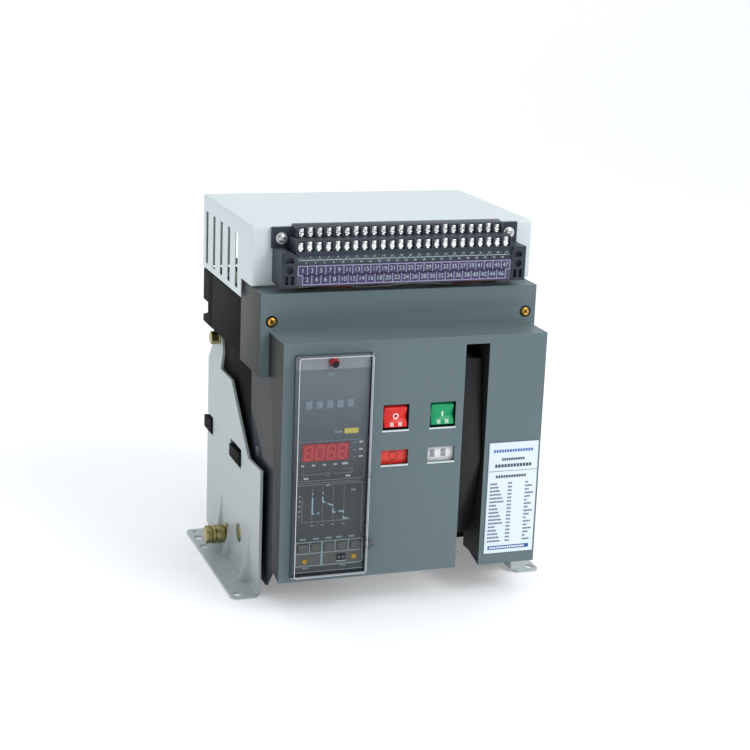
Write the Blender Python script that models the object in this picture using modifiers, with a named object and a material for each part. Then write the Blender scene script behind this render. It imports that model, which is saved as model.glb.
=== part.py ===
"""Fixed three-pole air circuit breaker, open position, charging spring released.

Metres, +Z up, +Y to the back. Z = 0 is the underside of the two mounting feet, X = 0 is the middle
pole. Depths are measured back from the front panel's face, which stands at Y = PANEL_Y.
"""
import math

import bmesh
import bpy
from mathutils import Matrix, Vector

# ---------------------------------------------------------------- driving dimensions
PANEL_Y = -0.1539            # front panel's face
TOTAL_DEPTH = 0.3230         # panel face to the ends of the rear terminals
POLE_PITCH = 0.095
POLES = (-POLE_PITCH, 0.0, POLE_PITCH)
GAP = 0.0003                 # between pieces that touch
RUN = 0.0004                 # round a turning shaft

COVER_X = 0.1586             # half widths
BEAM_X = 0.1555
BASE_X = 0.1552
PANEL_X = 0.1460
BASE_LOW_X = 0.1423
FOOT_X = 0.1810

COVER_TOP = 0.4020           # heights
COVER_SKIRT = 0.3181
COVER_FRONT_EDGE = 0.3389
BLOCK_TOP = 0.4045
BEAM_TOP = 0.3360
PANEL_TOP = 0.2960
PANEL_BOTTOM = 0.0375
WING_BOTTOM = 0.2470
BASE_TOP = 0.3140
BASE_SHELF = 0.2510
BASE_BOTTOM = 0.0180

BEAM_DEPTH = 0.0551          # depths behind the panel's face
COVER_DEPTH = 0.0830
BEAM_BACK = 0.1342
HOUSING_FRONT = 0.1346
HOUSING_BACK = 0.2626
REAR_BASE_FRONT = 0.2630
REAR_PLATE_BACK = 0.2780
COVER_BACK = 0.2951
BASE_BACK = 0.3036

WALL = 0.0030                # moulded walls
SHEET = 0.0012               # arc cover's sheet

# ---------------------------------------------------------------- mechanism
SHAFT = (0.1068, 0.1500)     # main shaft's axis: depth, height
SHAFT_RADIUS = 0.0090
CRANK_RADIUS = 0.0300
CRANK_SWING = math.radians(50)
CONTACT_PIVOT = (0.2168, 0.1120)
CONTACT_SWING = math.radians(20)
CONTACT_PIN = (0.0140, 0.0700)   # drive pin, from the pivot, with the contact closed
PIN_RADIUS = 0.0030
LINK_HALF = 0.0060
CAM_AXIS = (0.0628, 0.1000)
CAM_SHAFT_RADIUS = 0.0070
CRANK_PIN_THROW = 0.0140
FLAG_AXIS = (0.0448, 0.1680)
FLAG_RADIUS = 0.0400
DOOR_AXIS = (-0.1350, -0.0052)   # X, depth

SLOT = (0.0535, 0.0805)      # handle slot's sides
SLOT_TOP = 0.2870
OFF_X = -0.0220
ON_X = 0.0305
BUTTON_Z = 0.2118
BUTTON_HALF_WIDTH = 0.0127
BUTTON_HALF = (0.0143, 0.0138)
WINDOW_Z = 0.1680
WINDOW_HALF = (0.0150, 0.0081)
CONTROLLER = (-0.1335, -0.0510, 0.0425, 0.2830)   # opening: X, X, Z, Z

BAR_HALF = 0.0300
BAR_THICK = 0.0150
UPPER_BAR_Z = 0.2625
LOWER_BAR_Z = 0.1095

REAR_VENT_X = 0.1230
REAR_VENT_Z = (0.3260, 0.3910)

CELL_PITCH = 0.0100
UPPER_CELLS = 23
LOWER_CELLS = 24
END_X = (0.1202, 0.1366)      # block's end pieces, inner and outer side
END_Z = (0.3434, 0.3804)
END_CORNER = 0.0080
ENTRY_X = 0.1279              # middle of the wire entries in each end piece
ENTRY_DEPTH = (0.0400, 0.0520)

HOOK_Z = (0.1216, 0.1360)
HOOK_WINDOW_Z = (0.1192, 0.1413)
HOOK_X = 0.1527
FRONT_HOOK = (0.1412, 0.1855)
REAR_HOOK = (0.2696, 0.3030)
BRACKET_FACE = 0.1506        # outer face of the upright
BRACKET_SHEET = 0.0030
JOGGLE = 0.0050              # how far the top tab steps in
JOGGLE_Z = (0.2090, 0.2262)

PARTS = None
CUTTERS = None


# ---------------------------------------------------------------- helpers
def start():
    """Empty the scene and make the two collections."""
    global PARTS, CUTTERS
    for item in list(bpy.data.objects):
        bpy.data.objects.remove(item, do_unlink=True)
    PARTS = bpy.data.collections.new("air_circuit_breaker")
    CUTTERS = bpy.data.collections.new("cutters")
    for group in (PARTS, CUTTERS):
        bpy.context.scene.collection.children.link(group)


def material(name, colour, roughness, metallic=0.0, alpha=1.0):
    made = bpy.data.materials.new(name)
    made.use_nodes = True
    shader = made.node_tree.nodes["Principled BSDF"]
    shader.inputs["Base Color"].default_value = (*colour, 1.0)
    shader.inputs["Roughness"].default_value = roughness
    shader.inputs["Metallic"].default_value = metallic
    shader.inputs["Alpha"].default_value = alpha
    return made


def add(name, mesh, look=None):
    """Link a mesh as a part, or as a hidden cutter when it has no look."""
    made = bpy.data.objects.new(name, mesh)
    if look is None:
        made.hide_render = True
        made.display_type = "WIRE"
        CUTTERS.objects.link(made)
    else:
        mesh.materials.append(look)
        PARTS.objects.link(made)
    return made


def to_mesh(bm, name):
    bmesh.ops.recalc_face_normals(bm, faces=bm.faces)
    mesh = bpy.data.meshes.new(name)
    bm.to_mesh(mesh)
    bm.free()
    return mesh


def put_box(bm, x, depth, z):
    """Add one box to a bmesh: (low, high) along X, depth and height."""
    size = [pair[1] - pair[0] for pair in (x, depth, z)]
    middle = Vector([(pair[0] + pair[1]) / 2 for pair in (x, depth, z)])
    middle.y += PANEL_Y
    place = Matrix.Translation(middle) @ Matrix.Diagonal((*size, 1.0))
    return bmesh.ops.create_cube(bm, size=1.0, matrix=place)["verts"]


def box(name, x, depth, z, look=None):
    bm = bmesh.new()
    put_box(bm, x, depth, z)
    return add(name, to_mesh(bm, name), look)


def boxes(name, spans, look=None):
    """Several boxes that don't meet, in one mesh."""
    bm = bmesh.new()
    for x, depth, z in spans:
        put_box(bm, x, depth, z)
    return add(name, to_mesh(bm, name), look)


def put_rod(bm, axis, start_at, end_at, centre, radius, segments=24, tip=None):
    """Add a cylinder along X, Y or Z; centre holds the two other coordinates in X, Y, Z order."""
    middle = list(centre)
    middle.insert("XYZ".index(axis), (start_at + end_at) / 2)
    place = Vector((middle[0], middle[1] + PANEL_Y, middle[2]))
    turn = {"X": Matrix.Rotation(math.radians(90), 4, "Y"),
            "Y": Matrix.Rotation(math.radians(-90), 4, "X"),
            "Z": Matrix.Identity(4)}[axis]
    bmesh.ops.create_cone(bm, cap_ends=True, segments=segments, radius1=radius,
                          radius2=radius if tip is None else tip, depth=abs(end_at - start_at),
                          matrix=Matrix.Translation(place) @ turn)


def rod(name, axis, start_at, end_at, centre, radius, look=None, segments=24, tip=None):
    bm = bmesh.new()
    put_rod(bm, axis, start_at, end_at, centre, radius, segments, tip)
    mesh = to_mesh(bm, name)
    made = add(name, mesh, look)
    if segments > 8:
        mesh.shade_smooth()
        mesh.set_sharp_from_angle(angle=math.radians(40))
    return made


def side_outline(name, points, x, look=None):
    """A flat outline of (depth, height) points, extruded from x[0] to x[1]."""
    curve = bpy.data.curves.new(name, "CURVE")
    curve.dimensions = "2D"
    curve.fill_mode = "BOTH"
    curve.extrude = (x[1] - x[0]) / 2
    spline = curve.splines.new("POLY")
    spline.points.add(len(points) - 1)
    for point, (depth, height) in zip(spline.points, points):
        point.co = (depth + PANEL_Y, height, 0.0, 1.0)
    spline.use_cyclic_u = True
    flat = bpy.data.objects.new(name + "_curve", curve)
    flat.matrix_world = Matrix(((0, 0, 1, (x[0] + x[1]) / 2), (1, 0, 0, 0), (0, 1, 0, 0), (0, 0, 0, 1)))
    CUTTERS.objects.link(flat)
    bpy.context.view_layer.update()
    seen = flat.evaluated_get(bpy.context.evaluated_depsgraph_get())
    mesh = bpy.data.meshes.new_from_object(seen)
    mesh.transform(flat.matrix_world)
    mesh.materials.clear()
    bpy.data.objects.remove(flat, do_unlink=True)
    bm = bmesh.new()
    bm.from_mesh(mesh)
    bmesh.ops.remove_doubles(bm, verts=bm.verts, dist=0.00001)
    bmesh.ops.recalc_face_normals(bm, faces=bm.faces)
    bm.to_mesh(mesh)
    bm.free()
    mesh.name = name
    return add(name, mesh, look)


def front_outline(name, points, depth, look=None):
    """A solid with an outline of (X, height) points, between two depths."""
    bm = bmesh.new()
    near = [bm.verts.new((x, depth[0] + PANEL_Y, z)) for x, z in points]
    far = [bm.verts.new((x, depth[1] + PANEL_Y, z)) for x, z in points]
    bm.faces.new(near)
    bm.faces.new(far[::-1])
    for index in range(len(points)):
        after = (index + 1) % len(points)
        bm.faces.new((near[index], far[index], far[after], near[after]))
    bmesh.ops.recalc_face_normals(bm, faces=bm.faces)
    return add(name, to_mesh(bm, name), look)


def arc(centre, radius, first, last, steps):
    """Points on an arc; the angle runs from straight forward, up being positive."""
    turned = [math.radians(first + (last - first) * step / steps) for step in range(steps + 1)]
    return [(centre[0] - radius * math.cos(a), centre[1] + radius * math.sin(a)) for a in turned]


def capsule(start_at, end_at, radius, steps=6):
    """Outline of a link with round ends between two (depth, height) points."""
    lean = math.degrees(math.atan2(end_at[1] - start_at[1], start_at[0] - end_at[0]))
    first = arc(start_at, radius, lean + 90, lean + 270, steps)
    return first + arc(end_at, radius, lean - 90, lean + 90, steps)


def combine(target, tool, operation):
    step = target.modifiers.new(tool.name, "BOOLEAN")
    step.operation = operation
    step.object = tool
    step.solver = "EXACT"


def cut(target, *tools):
    for tool in tools:
        combine(target, tool, "DIFFERENCE")


def join(target, *tools):
    for tool in tools:
        combine(target, tool, "UNION")


def set_origin(made, x, depth, z):
    """Put a moving piece's origin on its joint axis."""
    place = Vector((x, depth + PANEL_Y, z))
    made.data.transform(Matrix.Translation(-place))
    made.location = place


def turned(point, angle):
    """Turn a (depth, height) offset so that its top leans forward."""
    return (point[0] * math.cos(angle) - point[1] * math.sin(angle),
            point[0] * math.sin(angle) + point[1] * math.cos(angle))


def shifted(origin, offset):
    return (origin[0] + offset[0], origin[1] + offset[1])


def span(middle, half):
    return (middle - half, middle + half)


# ---------------------------------------------------------------- front cover
def front_cover(look):
    """Grey moulded front: the panel box, the beam above it and a wing down each side."""
    side = [(0, PANEL_BOTTOM), (0.0268, 0.0437), (0.0268, 0.1536), (0.0682, 0.1545),
            (0.0923, 0.1768), (0.1180, 0.1930), (0.1180, PANEL_TOP), (0, PANEL_TOP)]
    cover = side_outline("front_cover", side, (-PANEL_X, PANEL_X), look)
    beam = box("beam", (-BEAM_X, BEAM_X), (BEAM_DEPTH, BEAM_BACK), (WING_BOTTOM, BEAM_TOP))
    join(cover, beam)

    inside = [(WALL, PANEL_BOTTOM + WALL), (0.0300, 0.0467), (0.1500, 0.0467),
              (0.1500, PANEL_TOP - WALL), (WALL, PANEL_TOP - WALL)]
    hollow = side_outline("panel_hollow", inside, (-PANEL_X + WALL, PANEL_X - WALL))
    beam_hollow = box("beam_hollow", (-BEAM_X + WALL, BEAM_X - WALL), (BEAM_DEPTH + WALL, 0.1500),
                      (WING_BOTTOM + WALL, BEAM_TOP - WALL))
    cut(cover, hollow, beam_hollow)

    channel = box("handle_channel", (SLOT[0] - WALL, SLOT[1] + WALL), (0.0020, 0.0450),
                  (0.0445, SLOT_TOP + WALL))
    join(cover, channel)
    slot = box("handle_slot", SLOT, (-0.0100, 0.0600), (0.0200, SLOT_TOP))
    cut(cover, slot)

    low_x, high_x, low_z, high_z = CONTROLLER
    through = (-0.0100, 0.0100)
    openings = [((low_x, high_x), through, (low_z, high_z))]
    for middle in (OFF_X, ON_X):
        openings.append((span(middle, BUTTON_HALF[0]), through, span(BUTTON_Z, BUTTON_HALF[1])))
        openings.append((span(middle, WINDOW_HALF[0]), through, span(WINDOW_Z, WINDOW_HALF[1])))
    cut(cover, boxes("panel_openings", openings))
    for side_sign in (-1, 1):
        place = (side_sign * 0.1435, 0.3065)
        cut(cover, rod("screw_recess", "Y", BEAM_DEPTH - 0.001, BEAM_DEPTH + 0.0015, place, 0.0066))


def front_screws(look):
    for side, sign in (("left", -1), ("right", 1)):
        place = (sign * 0.1435, 0.3065)
        rod("front_cover_screw_" + side, "Y", BEAM_DEPTH - 0.0012, BEAM_DEPTH + 0.0012, place,
            0.0052, look, 20, 0.0052)


def nameplate(look):
    box("nameplate", (0.0860, 0.1433), (-0.0012, -GAP), (0.0505, 0.1763), look)


# ---------------------------------------------------------------- arc cover and chutes
def arc_cover(look):
    """Folded sheet hood over the arc chutes, with a wide vent in its back and louvres down each side."""
    cover = box("arc_cover", (-COVER_X, COVER_X), (COVER_DEPTH, COVER_BACK), (COVER_SKIRT, COVER_TOP), look)
    inner = COVER_X - SHEET
    hollow = (COVER_DEPTH + SHEET, COVER_BACK - SHEET)
    cut(cover, box("hood_hollow", (-inner, inner), hollow, (0.3000, COVER_TOP - SHEET)))
    cut(cover, box("rear_vent", span(0.0, REAR_VENT_X), (0.2850, 0.3100), REAR_VENT_Z))
    cut(cover, box("front_step", (-0.1700, 0.1700), (0.0700, 0.1252), (0.3000, COVER_FRONT_EDGE)))
    first, pitch, half = 0.1454, 0.0327, 0.0055
    slots = []
    for number in range(5):
        depth = span(first + number * pitch, half)
        for side in ((-0.1700, -0.1500), (0.1500, 0.1700)):
            slots.append((side, depth, (0.3245, 0.3845)))
    cut(cover, boxes("louvres", slots))


def arc_chutes(look):
    """A box of steel splitter plates over each pole, hung on the housing by its flange."""
    depth = (0.1405, 0.2425)
    for number, pole in enumerate(POLES, 1):
        name = "arc_chute_%d" % number
        chute = box(name, span(pole, 0.0408), depth, (0.2580, 0.3170), look)
        join(chute, box("chute_flange", span(pole, 0.0455), (0.1360, 0.2600), (BASE_TOP + GAP, 0.3173)))
        plates, groove = 10, 0.0034
        pitch = (depth[1] - depth[0]) / plates
        gaps = [(span(pole, 0.0300), span(depth[0] + pitch * (index + 0.5), groove / 2), (0.2500, 0.3250))
                for index in range(plates)]
        cut(chute, boxes("chute_gaps", gaps))


# ---------------------------------------------------------------- terminal block
def terminal_block(look):
    """Two-tier secondary terminal block with an ear at each end."""
    back = COVER_DEPTH - GAP
    lower = [(0.0478, 0.3440), (back, 0.3440), (back, 0.3921), (0.0555, 0.3921), (0.0508, 0.3896),
             (0.0498, 0.3850), (0.0498, 0.3790), (0.0500, 0.3766), (0.0478, 0.3670)]
    block = side_outline("terminal_block", lower, (-0.1206, 0.1206), look)
    upper = [(0.0648, 0.3850), (back - 0.0002, 0.3850), (back - 0.0002, BLOCK_TOP), (0.0788, BLOCK_TOP),
             (0.0722, 0.4038), (0.0678, 0.4027), (0.0655, 0.4009), (0.0648, 0.3970)]
    join(block, side_outline("upper_tier", upper, (-0.1165, 0.1165)))
    for sign in (-1, 1):
        join(block, front_outline("end_piece", end_outline(sign), (0.0472, back - 0.0001)))
    join(block, box("ears", (-0.1385, 0.1385), (0.0782, back - 0.0003), (0.3790, 0.4015)))
    for cells, front, floor in ((UPPER_CELLS, 0.0648, 0.3926), (LOWER_CELLS, 0.0498, 0.3804)):
        pockets = []
        for index in range(cells):
            middle = (index - (cells - 1) / 2) * CELL_PITCH
            pockets.append((span(middle, 0.0042), (front - 0.0100, front + 0.0037), (floor, floor + 0.0300)))
        cut(block, boxes("cells", pockets))
    for sign in (-1, 1):
        wire_entries(block, sign * ENTRY_X)


def end_outline(sign):
    """Front view of an end piece, whose inner top corner is round."""
    inner, outer = END_X
    low, high = END_Z
    points = [(outer, low), (inner, low)]
    for step in range(7):
        turn = math.radians(15 * step)
        points.append((inner + END_CORNER * (1 - math.cos(turn)), high - END_CORNER * (1 - math.sin(turn))))
    points.append((outer, high))
    return [(sign * x, z) for x, z in points]


def wire_entries(block, middle):
    """Blind holes in an end piece: an arched one over a round one over two slots."""
    radius, spring, sill = 0.0045, 0.3711, 0.3690
    arch = [(middle - radius, sill)]
    for step in range(11):
        turn = math.radians(18 * step)
        arch.append((middle - radius * math.cos(turn), spring + radius * math.sin(turn)))
    arch.append((middle + radius, sill))
    cut(block, front_outline("arched_entry", arch, ENTRY_DEPTH))
    cut(block, rod("round_entry", "Y", *ENTRY_DEPTH, (middle, 0.3618), 0.0043, None, 20))
    slots = [(span(middle + offset, 0.0021), ENTRY_DEPTH, (0.3464, 0.3556)) for offset in (-0.0031, 0.0031)]
    cut(block, boxes("slot_entries", slots))


def block_screws(look):
    for side, sign in (("left", -1), ("right", 1)):
        name = "terminal_block_screw_" + side
        place = (sign * 0.1285, 0.3900)
        screw = rod(name, "Y", 0.0767, 0.0779, place, 0.0062, look, 20)
        join(screw, rod("pan_head", "Y", 0.0770, 0.0735, place, 0.0050, None, 20, 0.0036))


def wiring_loom(look):
    """Secondary wires along the gap under the block, clipped at both ends."""
    curve = bpy.data.curves.new("wiring_loom", "CURVE")
    curve.dimensions = "3D"
    curve.bevel_depth = 0.0022
    curve.bevel_resolution = 2
    curve.use_fill_caps = True
    spline = curve.splines.new("POLY")
    steps = 24
    spline.points.add(steps)
    for index, point in enumerate(spline.points):
        along = index / steps
        sway = 0.0030 * math.sin(along * 4 * math.pi)
        point.co = (-0.1150 + 0.2300 * along, PANEL_Y + 0.0680 + sway, BEAM_TOP + 0.0040, 1.0)
    curve.materials.append(look)
    made = bpy.data.objects.new("wiring_loom", curve)
    PARTS.objects.link(made)


# ---------------------------------------------------------------- controller
def controller(housing_look, face_look, button_look, key_look, door_look):
    low_x, high_x, low_z, high_z = CONTROLLER
    across = (low_x + 0.0010, high_x - 0.0008)
    up = (low_z + 0.0010, high_z - 0.0008)
    reset = (-0.0920, 0.2750)
    housing = box("controller_housing", across, (0.0050, 0.0730), (low_z + 0.0050, up[1]), housing_look)
    cut(housing, rod("reset_bore", "Y", -0.0100, 0.0160, reset, 0.0050))
    face = box("controller_faceplate", across, (0.0021, 0.0047), up, face_look)
    cut(face, rod("reset_hole", "Y", -0.0100, 0.0200, reset, 0.0050))
    button = rod("controller_reset_button", "Y", -0.0040, 0.0100, reset, 0.0045, button_look)
    set_origin(button, reset[0], 0.0030, reset[1])
    key_pitch = 0.0146
    for number in range(5):
        middle = -0.1197 + number * key_pitch
        key = box("controller_key_%d" % (number + 1), span(middle, 0.0056), (0.0002, 0.0014),
                  (0.0710, 0.0785), key_look)
        set_origin(key, middle, 0.0008, 0.0748)
    controller_door(door_look)


def controller_door(look):
    """Clear tray over the controller; its sides draw in towards the front."""
    rear = (-0.1350, -0.0497, 0.0415, 0.2845)
    front = (-0.1335, -0.0535, 0.0465, 0.2842)
    thick = 0.0015
    door = draft_box("controller_door", rear, front, (-GAP, -0.0152), look)
    inner_rear = (rear[0] + thick, rear[1] - thick, rear[2] + thick, rear[3] - thick)
    inner_front = (front[0] + thick, front[1] - thick, front[2] + thick, front[3] - thick)
    cut(door, draft_box("door_hollow", inner_rear, inner_front, (0.0020, -0.0152 + thick)))
    set_origin(door, DOOR_AXIS[0], DOOR_AXIS[1], 0.1630)


def draft_box(name, rear, front, depth, look=None):
    """A box whose front face (X, X, Z, Z) is smaller than its rear face."""
    bm = bmesh.new()
    put_box(bm, rear[:2], (min(depth), max(depth)), rear[2:])
    front_y = min(depth) + PANEL_Y
    for vert in bm.verts:
        if abs(vert.co.y - front_y) < 1e-5:
            vert.co.x = front[0] if abs(vert.co.x - rear[0]) < 1e-5 else front[1]
            vert.co.z = front[2] if abs(vert.co.z - rear[2]) < 1e-5 else front[3]
    return add(name, to_mesh(bm, name), look)


# ---------------------------------------------------------------- buttons and flags
def push_button(name, middle, look):
    """Push button with a ridge near its top, a thumb hollow, a fuller lower part and a stem behind."""
    low, high = BUTTON_Z - 0.0113, BUTTON_Z + 0.0122
    face = [(0.0012, low), (0.0005, low + 0.0010), (0.0006, BUTTON_Z - 0.0084), (0.0013, BUTTON_Z - 0.0059),
            (0.0026, BUTTON_Z - 0.0037), (0.0041, BUTTON_Z - 0.0014), (0.0037, BUTTON_Z + 0.0017),
            (0.0026, BUTTON_Z + 0.0056), (0.0016, BUTTON_Z + 0.0091), (0.0025, BUTTON_Z + 0.0103),
            (0.0050, high), (0.0200, high), (0.0200, low)]
    button = side_outline(name, face, span(middle, BUTTON_HALF_WIDTH), look)
    set_origin(button, middle, 0.0120, BUTTON_Z)
    join(button, box(name + "_stem", span(middle, 0.0060), (0.0190, 0.0400), span(BUTTON_Z, 0.0060)))


def flag(name, middle, look):
    """Indicator drum sector that turns behind its window."""
    inner = FLAG_RADIUS - 0.0020
    hub = 0.0040
    points = arc(FLAG_AXIS, FLAG_RADIUS, -38, 13, 8)
    points += arc(FLAG_AXIS, inner, 13, -9, 4)
    points += arc(FLAG_AXIS, hub, 20, 315, 9)
    points += arc(FLAG_AXIS, inner, -16, -38, 4)
    made = side_outline(name, points, span(middle, 0.0162), look)
    set_origin(made, middle, *FLAG_AXIS)


# ---------------------------------------------------------------- charging handle and spring
def charging_handle(look):
    depth, height = CAM_AXIS
    profile = [(0.0158, 0.2670), (0.0040, 0.1580), (0.0093, 0.1350), (0.0198, 0.0980),
               (0.0278, 0.0770), (0.0400, 0.0620), (0.0628, 0.0560), (0.0850, 0.0660),
               (0.0960, 0.0850), (0.0990, 0.1000), (0.0930, 0.1220), (0.0650, 0.1500),
               (0.0480, 0.1850), (0.0420, 0.2670)]
    handle = side_outline("charging_handle", profile, (0.0555, 0.0785), look)
    cut(handle, rod("handle_bore", "X", 0.0400, 0.1000, (depth, height), CAM_SHAFT_RADIUS + RUN))
    set_origin(handle, 0.0670, depth, height)


def cam_shaft(look):
    """Charging shaft with its cam, its crank disc and the pin that stretches the closing spring."""
    depth, height = CAM_AXIS
    shaft = rod("cam_shaft", "X", -0.0515, 0.0880, CAM_AXIS, CAM_SHAFT_RADIUS, look)
    cam = side_outline("cam", arc((depth, height), 0.0180, -90, 90, 8)
                       + arc((depth + 0.0040, height), 0.0230, 90, 270, 8), (0.0000, 0.0080))
    disc = rod("crank_disc", "X", 0.0200, 0.0260, CAM_AXIS, 0.0200, None, 32)
    pin = rod("crank_pin", "X", 0.0255, 0.0440, (depth, height - CRANK_PIN_THROW), PIN_RADIUS, None, 16)
    set_origin(shaft, 0.0, depth, height)
    join(shaft, cam, disc, pin)


def closing_spring(look):
    """Extension spring between the frame's floor and the crank pin."""
    turns, per_turn = 7, 12
    low, high = 0.0480, CAM_AXIS[1] - CRANK_PIN_THROW - PIN_RADIUS - 0.0018
    curve = bpy.data.curves.new("closing_spring", "CURVE")
    curve.dimensions = "3D"
    curve.bevel_depth = 0.0013
    curve.bevel_resolution = 1
    curve.use_fill_caps = True
    spline = curve.splines.new("POLY")
    count = turns * per_turn
    spline.points.add(count)
    for index, point in enumerate(spline.points):
        angle = 2 * math.pi * index / per_turn
        point.co = (0.0360 + 0.0072 * math.cos(angle), PANEL_Y + CAM_AXIS[0] + 0.0072 * math.sin(angle),
                    low + (high - low) * index / count, 1.0)
    curve.materials.append(look)
    made = bpy.data.objects.new("closing_spring", curve)
    PARTS.objects.link(made)


def mechanism_frame(look):
    """Pressed-steel frame: two cheeks on one floor, with holes for both shafts."""
    depth, height = (0.0300, HOUSING_FRONT - GAP), (0.0430, 0.1880)
    frame = box("mechanism_frame", (-0.0495, 0.0500), depth, height, look)
    cut(frame, box("frame_hollow", (-0.0465, 0.0470), (0.0200, 0.1500), (0.0460, 0.2000)))
    cut(frame, rod("main_shaft_holes", "X", -0.0600, 0.0600, SHAFT, SHAFT_RADIUS + RUN))
    cut(frame, rod("cam_shaft_holes", "X", -0.0600, 0.0600, CAM_AXIS, CAM_SHAFT_RADIUS + RUN))


def side_plates(look):
    """Dark steel plate inside each side of the front cover, carrying the main shaft's ends."""
    outline = [(0.0275, 0.0480), (0.0600, 0.0120), (0.1343, 0.0120), (0.1343, 0.2450), (0.0275, 0.2450)]
    for side, sign in (("left", -1), ("right", 1)):
        x = sorted((sign * 0.1395, sign * 0.1421))
        plate = side_outline("side_plate_" + side, outline, x, look)
        cut(plate, rod("journal_hole", "X", sign * 0.1300, sign * 0.1500, SHAFT, 0.0060 + RUN))


def motor_and_coils(motor_look, coil_look):
    motor = rod("charging_motor", "X", -0.0440, -0.0100, (0.1068, 0.0800), 0.0200, motor_look, 32)
    join(motor, rod("motor_boss", "X", -0.0105, -0.0040, (0.1068, 0.0800), 0.0080))
    for name, middle in (("trip_coil", OFF_X), ("closing_coil", ON_X)):
        coil = box(name, span(middle, 0.0120), (0.0480, 0.0800), span(BUTTON_Z, 0.0160), coil_look)
        step = coil.modifiers.new("edges", "BEVEL")
        step.width = 0.0020
        step.segments = 1


# ---------------------------------------------------------------- main shaft, links and contacts
def crank_end(angle):
    """Crank pin's place with the crank leaning by angle, forward being positive."""
    return shifted(SHAFT, turned((0.0, CRANK_RADIUS), angle))


def main_shaft(look):
    shaft = rod("main_shaft", "X", -0.1385, 0.1385, SHAFT, SHAFT_RADIUS, look)
    set_origin(shaft, 0.0, *SHAFT)
    join(shaft, rod("journals", "X", -0.1420, 0.1420, SHAFT, 0.0060))
    for pole in POLES:
        outline = capsule(SHAFT, crank_end(CRANK_SWING / 2), 0.0070)
        join(shaft, side_outline("crank", outline, (pole + 0.0045, pole + 0.0095)))


def contacts(contact_look, link_look):
    """Moving contact of each pole, leaning open, and the insulating link that drives it."""
    closed = [(-0.0090, -0.0040), (0.0090, -0.0040), (0.0220, 0.0380), (0.0220, 0.1160),
              (0.0285, 0.1200), (0.0285, 0.1360), (0.0220, 0.1400), (0.0120, 0.1400),
              (0.0060, 0.0380), (-0.0090, 0.0060)]
    window = [(-0.0100, 0.0500), (0.0400, 0.0500), (0.0400, 0.0900), (-0.0100, 0.0900)]
    opened = [shifted(CONTACT_PIVOT, turned(point, CONTACT_SWING)) for point in closed]
    window = [shifted(CONTACT_PIVOT, turned(point, CONTACT_SWING)) for point in window]
    pin = shifted(CONTACT_PIVOT, turned(CONTACT_PIN, CONTACT_SWING))
    for number, pole in enumerate(POLES, 1):
        arm = side_outline("moving_contact_%d" % number, opened, span(pole, 0.0220), contact_look)
        set_origin(arm, pole, *CONTACT_PIVOT)
        cut(arm, side_outline("link_window", window, span(pole, 0.0050)))
        join(arm, rod("drive_pin", "X", pole - 0.0150, pole + 0.0150, pin, PIN_RADIUS, None, 16))
        outline = capsule(crank_end(CRANK_SWING / 2), pin, LINK_HALF)
        link = side_outline("drive_link_%d" % number, outline, span(pole, 0.0040), link_look)
        cut(link, rod("link_bore", "X", pole - 0.0200, pole + 0.0200, pin, PIN_RADIUS + RUN, None, 16))
        set_origin(link, pole, *pin)


# ---------------------------------------------------------------- base, terminals and transformers
def stepped_block(name, depth, top, look):
    """The base's outer form: a narrow lower part and a wide upper part."""
    block = box(name, (-BASE_LOW_X, BASE_LOW_X), depth, (BASE_BOTTOM, top), look)
    join(block, box(name + "_shoulder", (-BASE_X, BASE_X), depth, (BASE_SHELF, top)))
    return block


def hook(target, sign, depth):
    """A moulded block that stands out from the wall, through the bracket's window."""
    reach = sorted((sign * HOOK_X, sign * (BASE_LOW_X - 0.0010)))
    join(target, box("hook", reach, depth, HOOK_Z))


def contact_housing(look):
    """Insulating housing with one chamber for each pole."""
    housing = stepped_block("contact_housing", (HOUSING_FRONT, HOUSING_BACK), BASE_TOP, look)
    chambers = [(span(pole, 0.0415), (HOUSING_FRONT + 0.0050, 0.2800), (0.0240, 0.3300)) for pole in POLES]
    windows = [(span(pole, 0.0070), (0.1200, 0.1450), (0.1640, 0.1940)) for pole in POLES]
    cut(housing, boxes("pole_chambers", chambers), boxes("link_windows", windows))
    for sign in (-1, 1):
        hook(housing, sign, FRONT_HOOK)


def rear_base(look):
    """Rear moulding: a plate that the terminals pass through, with barriers between the poles."""
    base = stepped_block("rear_base", (REAR_BASE_FRONT, BASE_BACK), BASE_TOP, look)
    bays = [(span(pole, 0.0415), (REAR_PLATE_BACK, 0.3200), (0.0300, 0.3020)) for pole in POLES]
    ways = [(span(pole, BAR_HALF + 0.0005), (0.2500, 0.2900), span(height, BAR_THICK / 2 + 0.0005))
            for pole in POLES for height in (UPPER_BAR_Z, LOWER_BAR_Z)]
    cut(base, boxes("terminal_bays", bays), boxes("bar_ways", ways))
    notch = [(0.2818, 0.2773), (0.2818, 0.2653), (0.3040, 0.2590), (0.3100, 0.2590), (0.3100, 0.2773)]
    for sign in (-1, 1):
        cut(base, side_outline("side_notch", notch, sorted((sign * 0.1300, sign * 0.1700))))
        hook(base, sign, REAR_HOOK)


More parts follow.
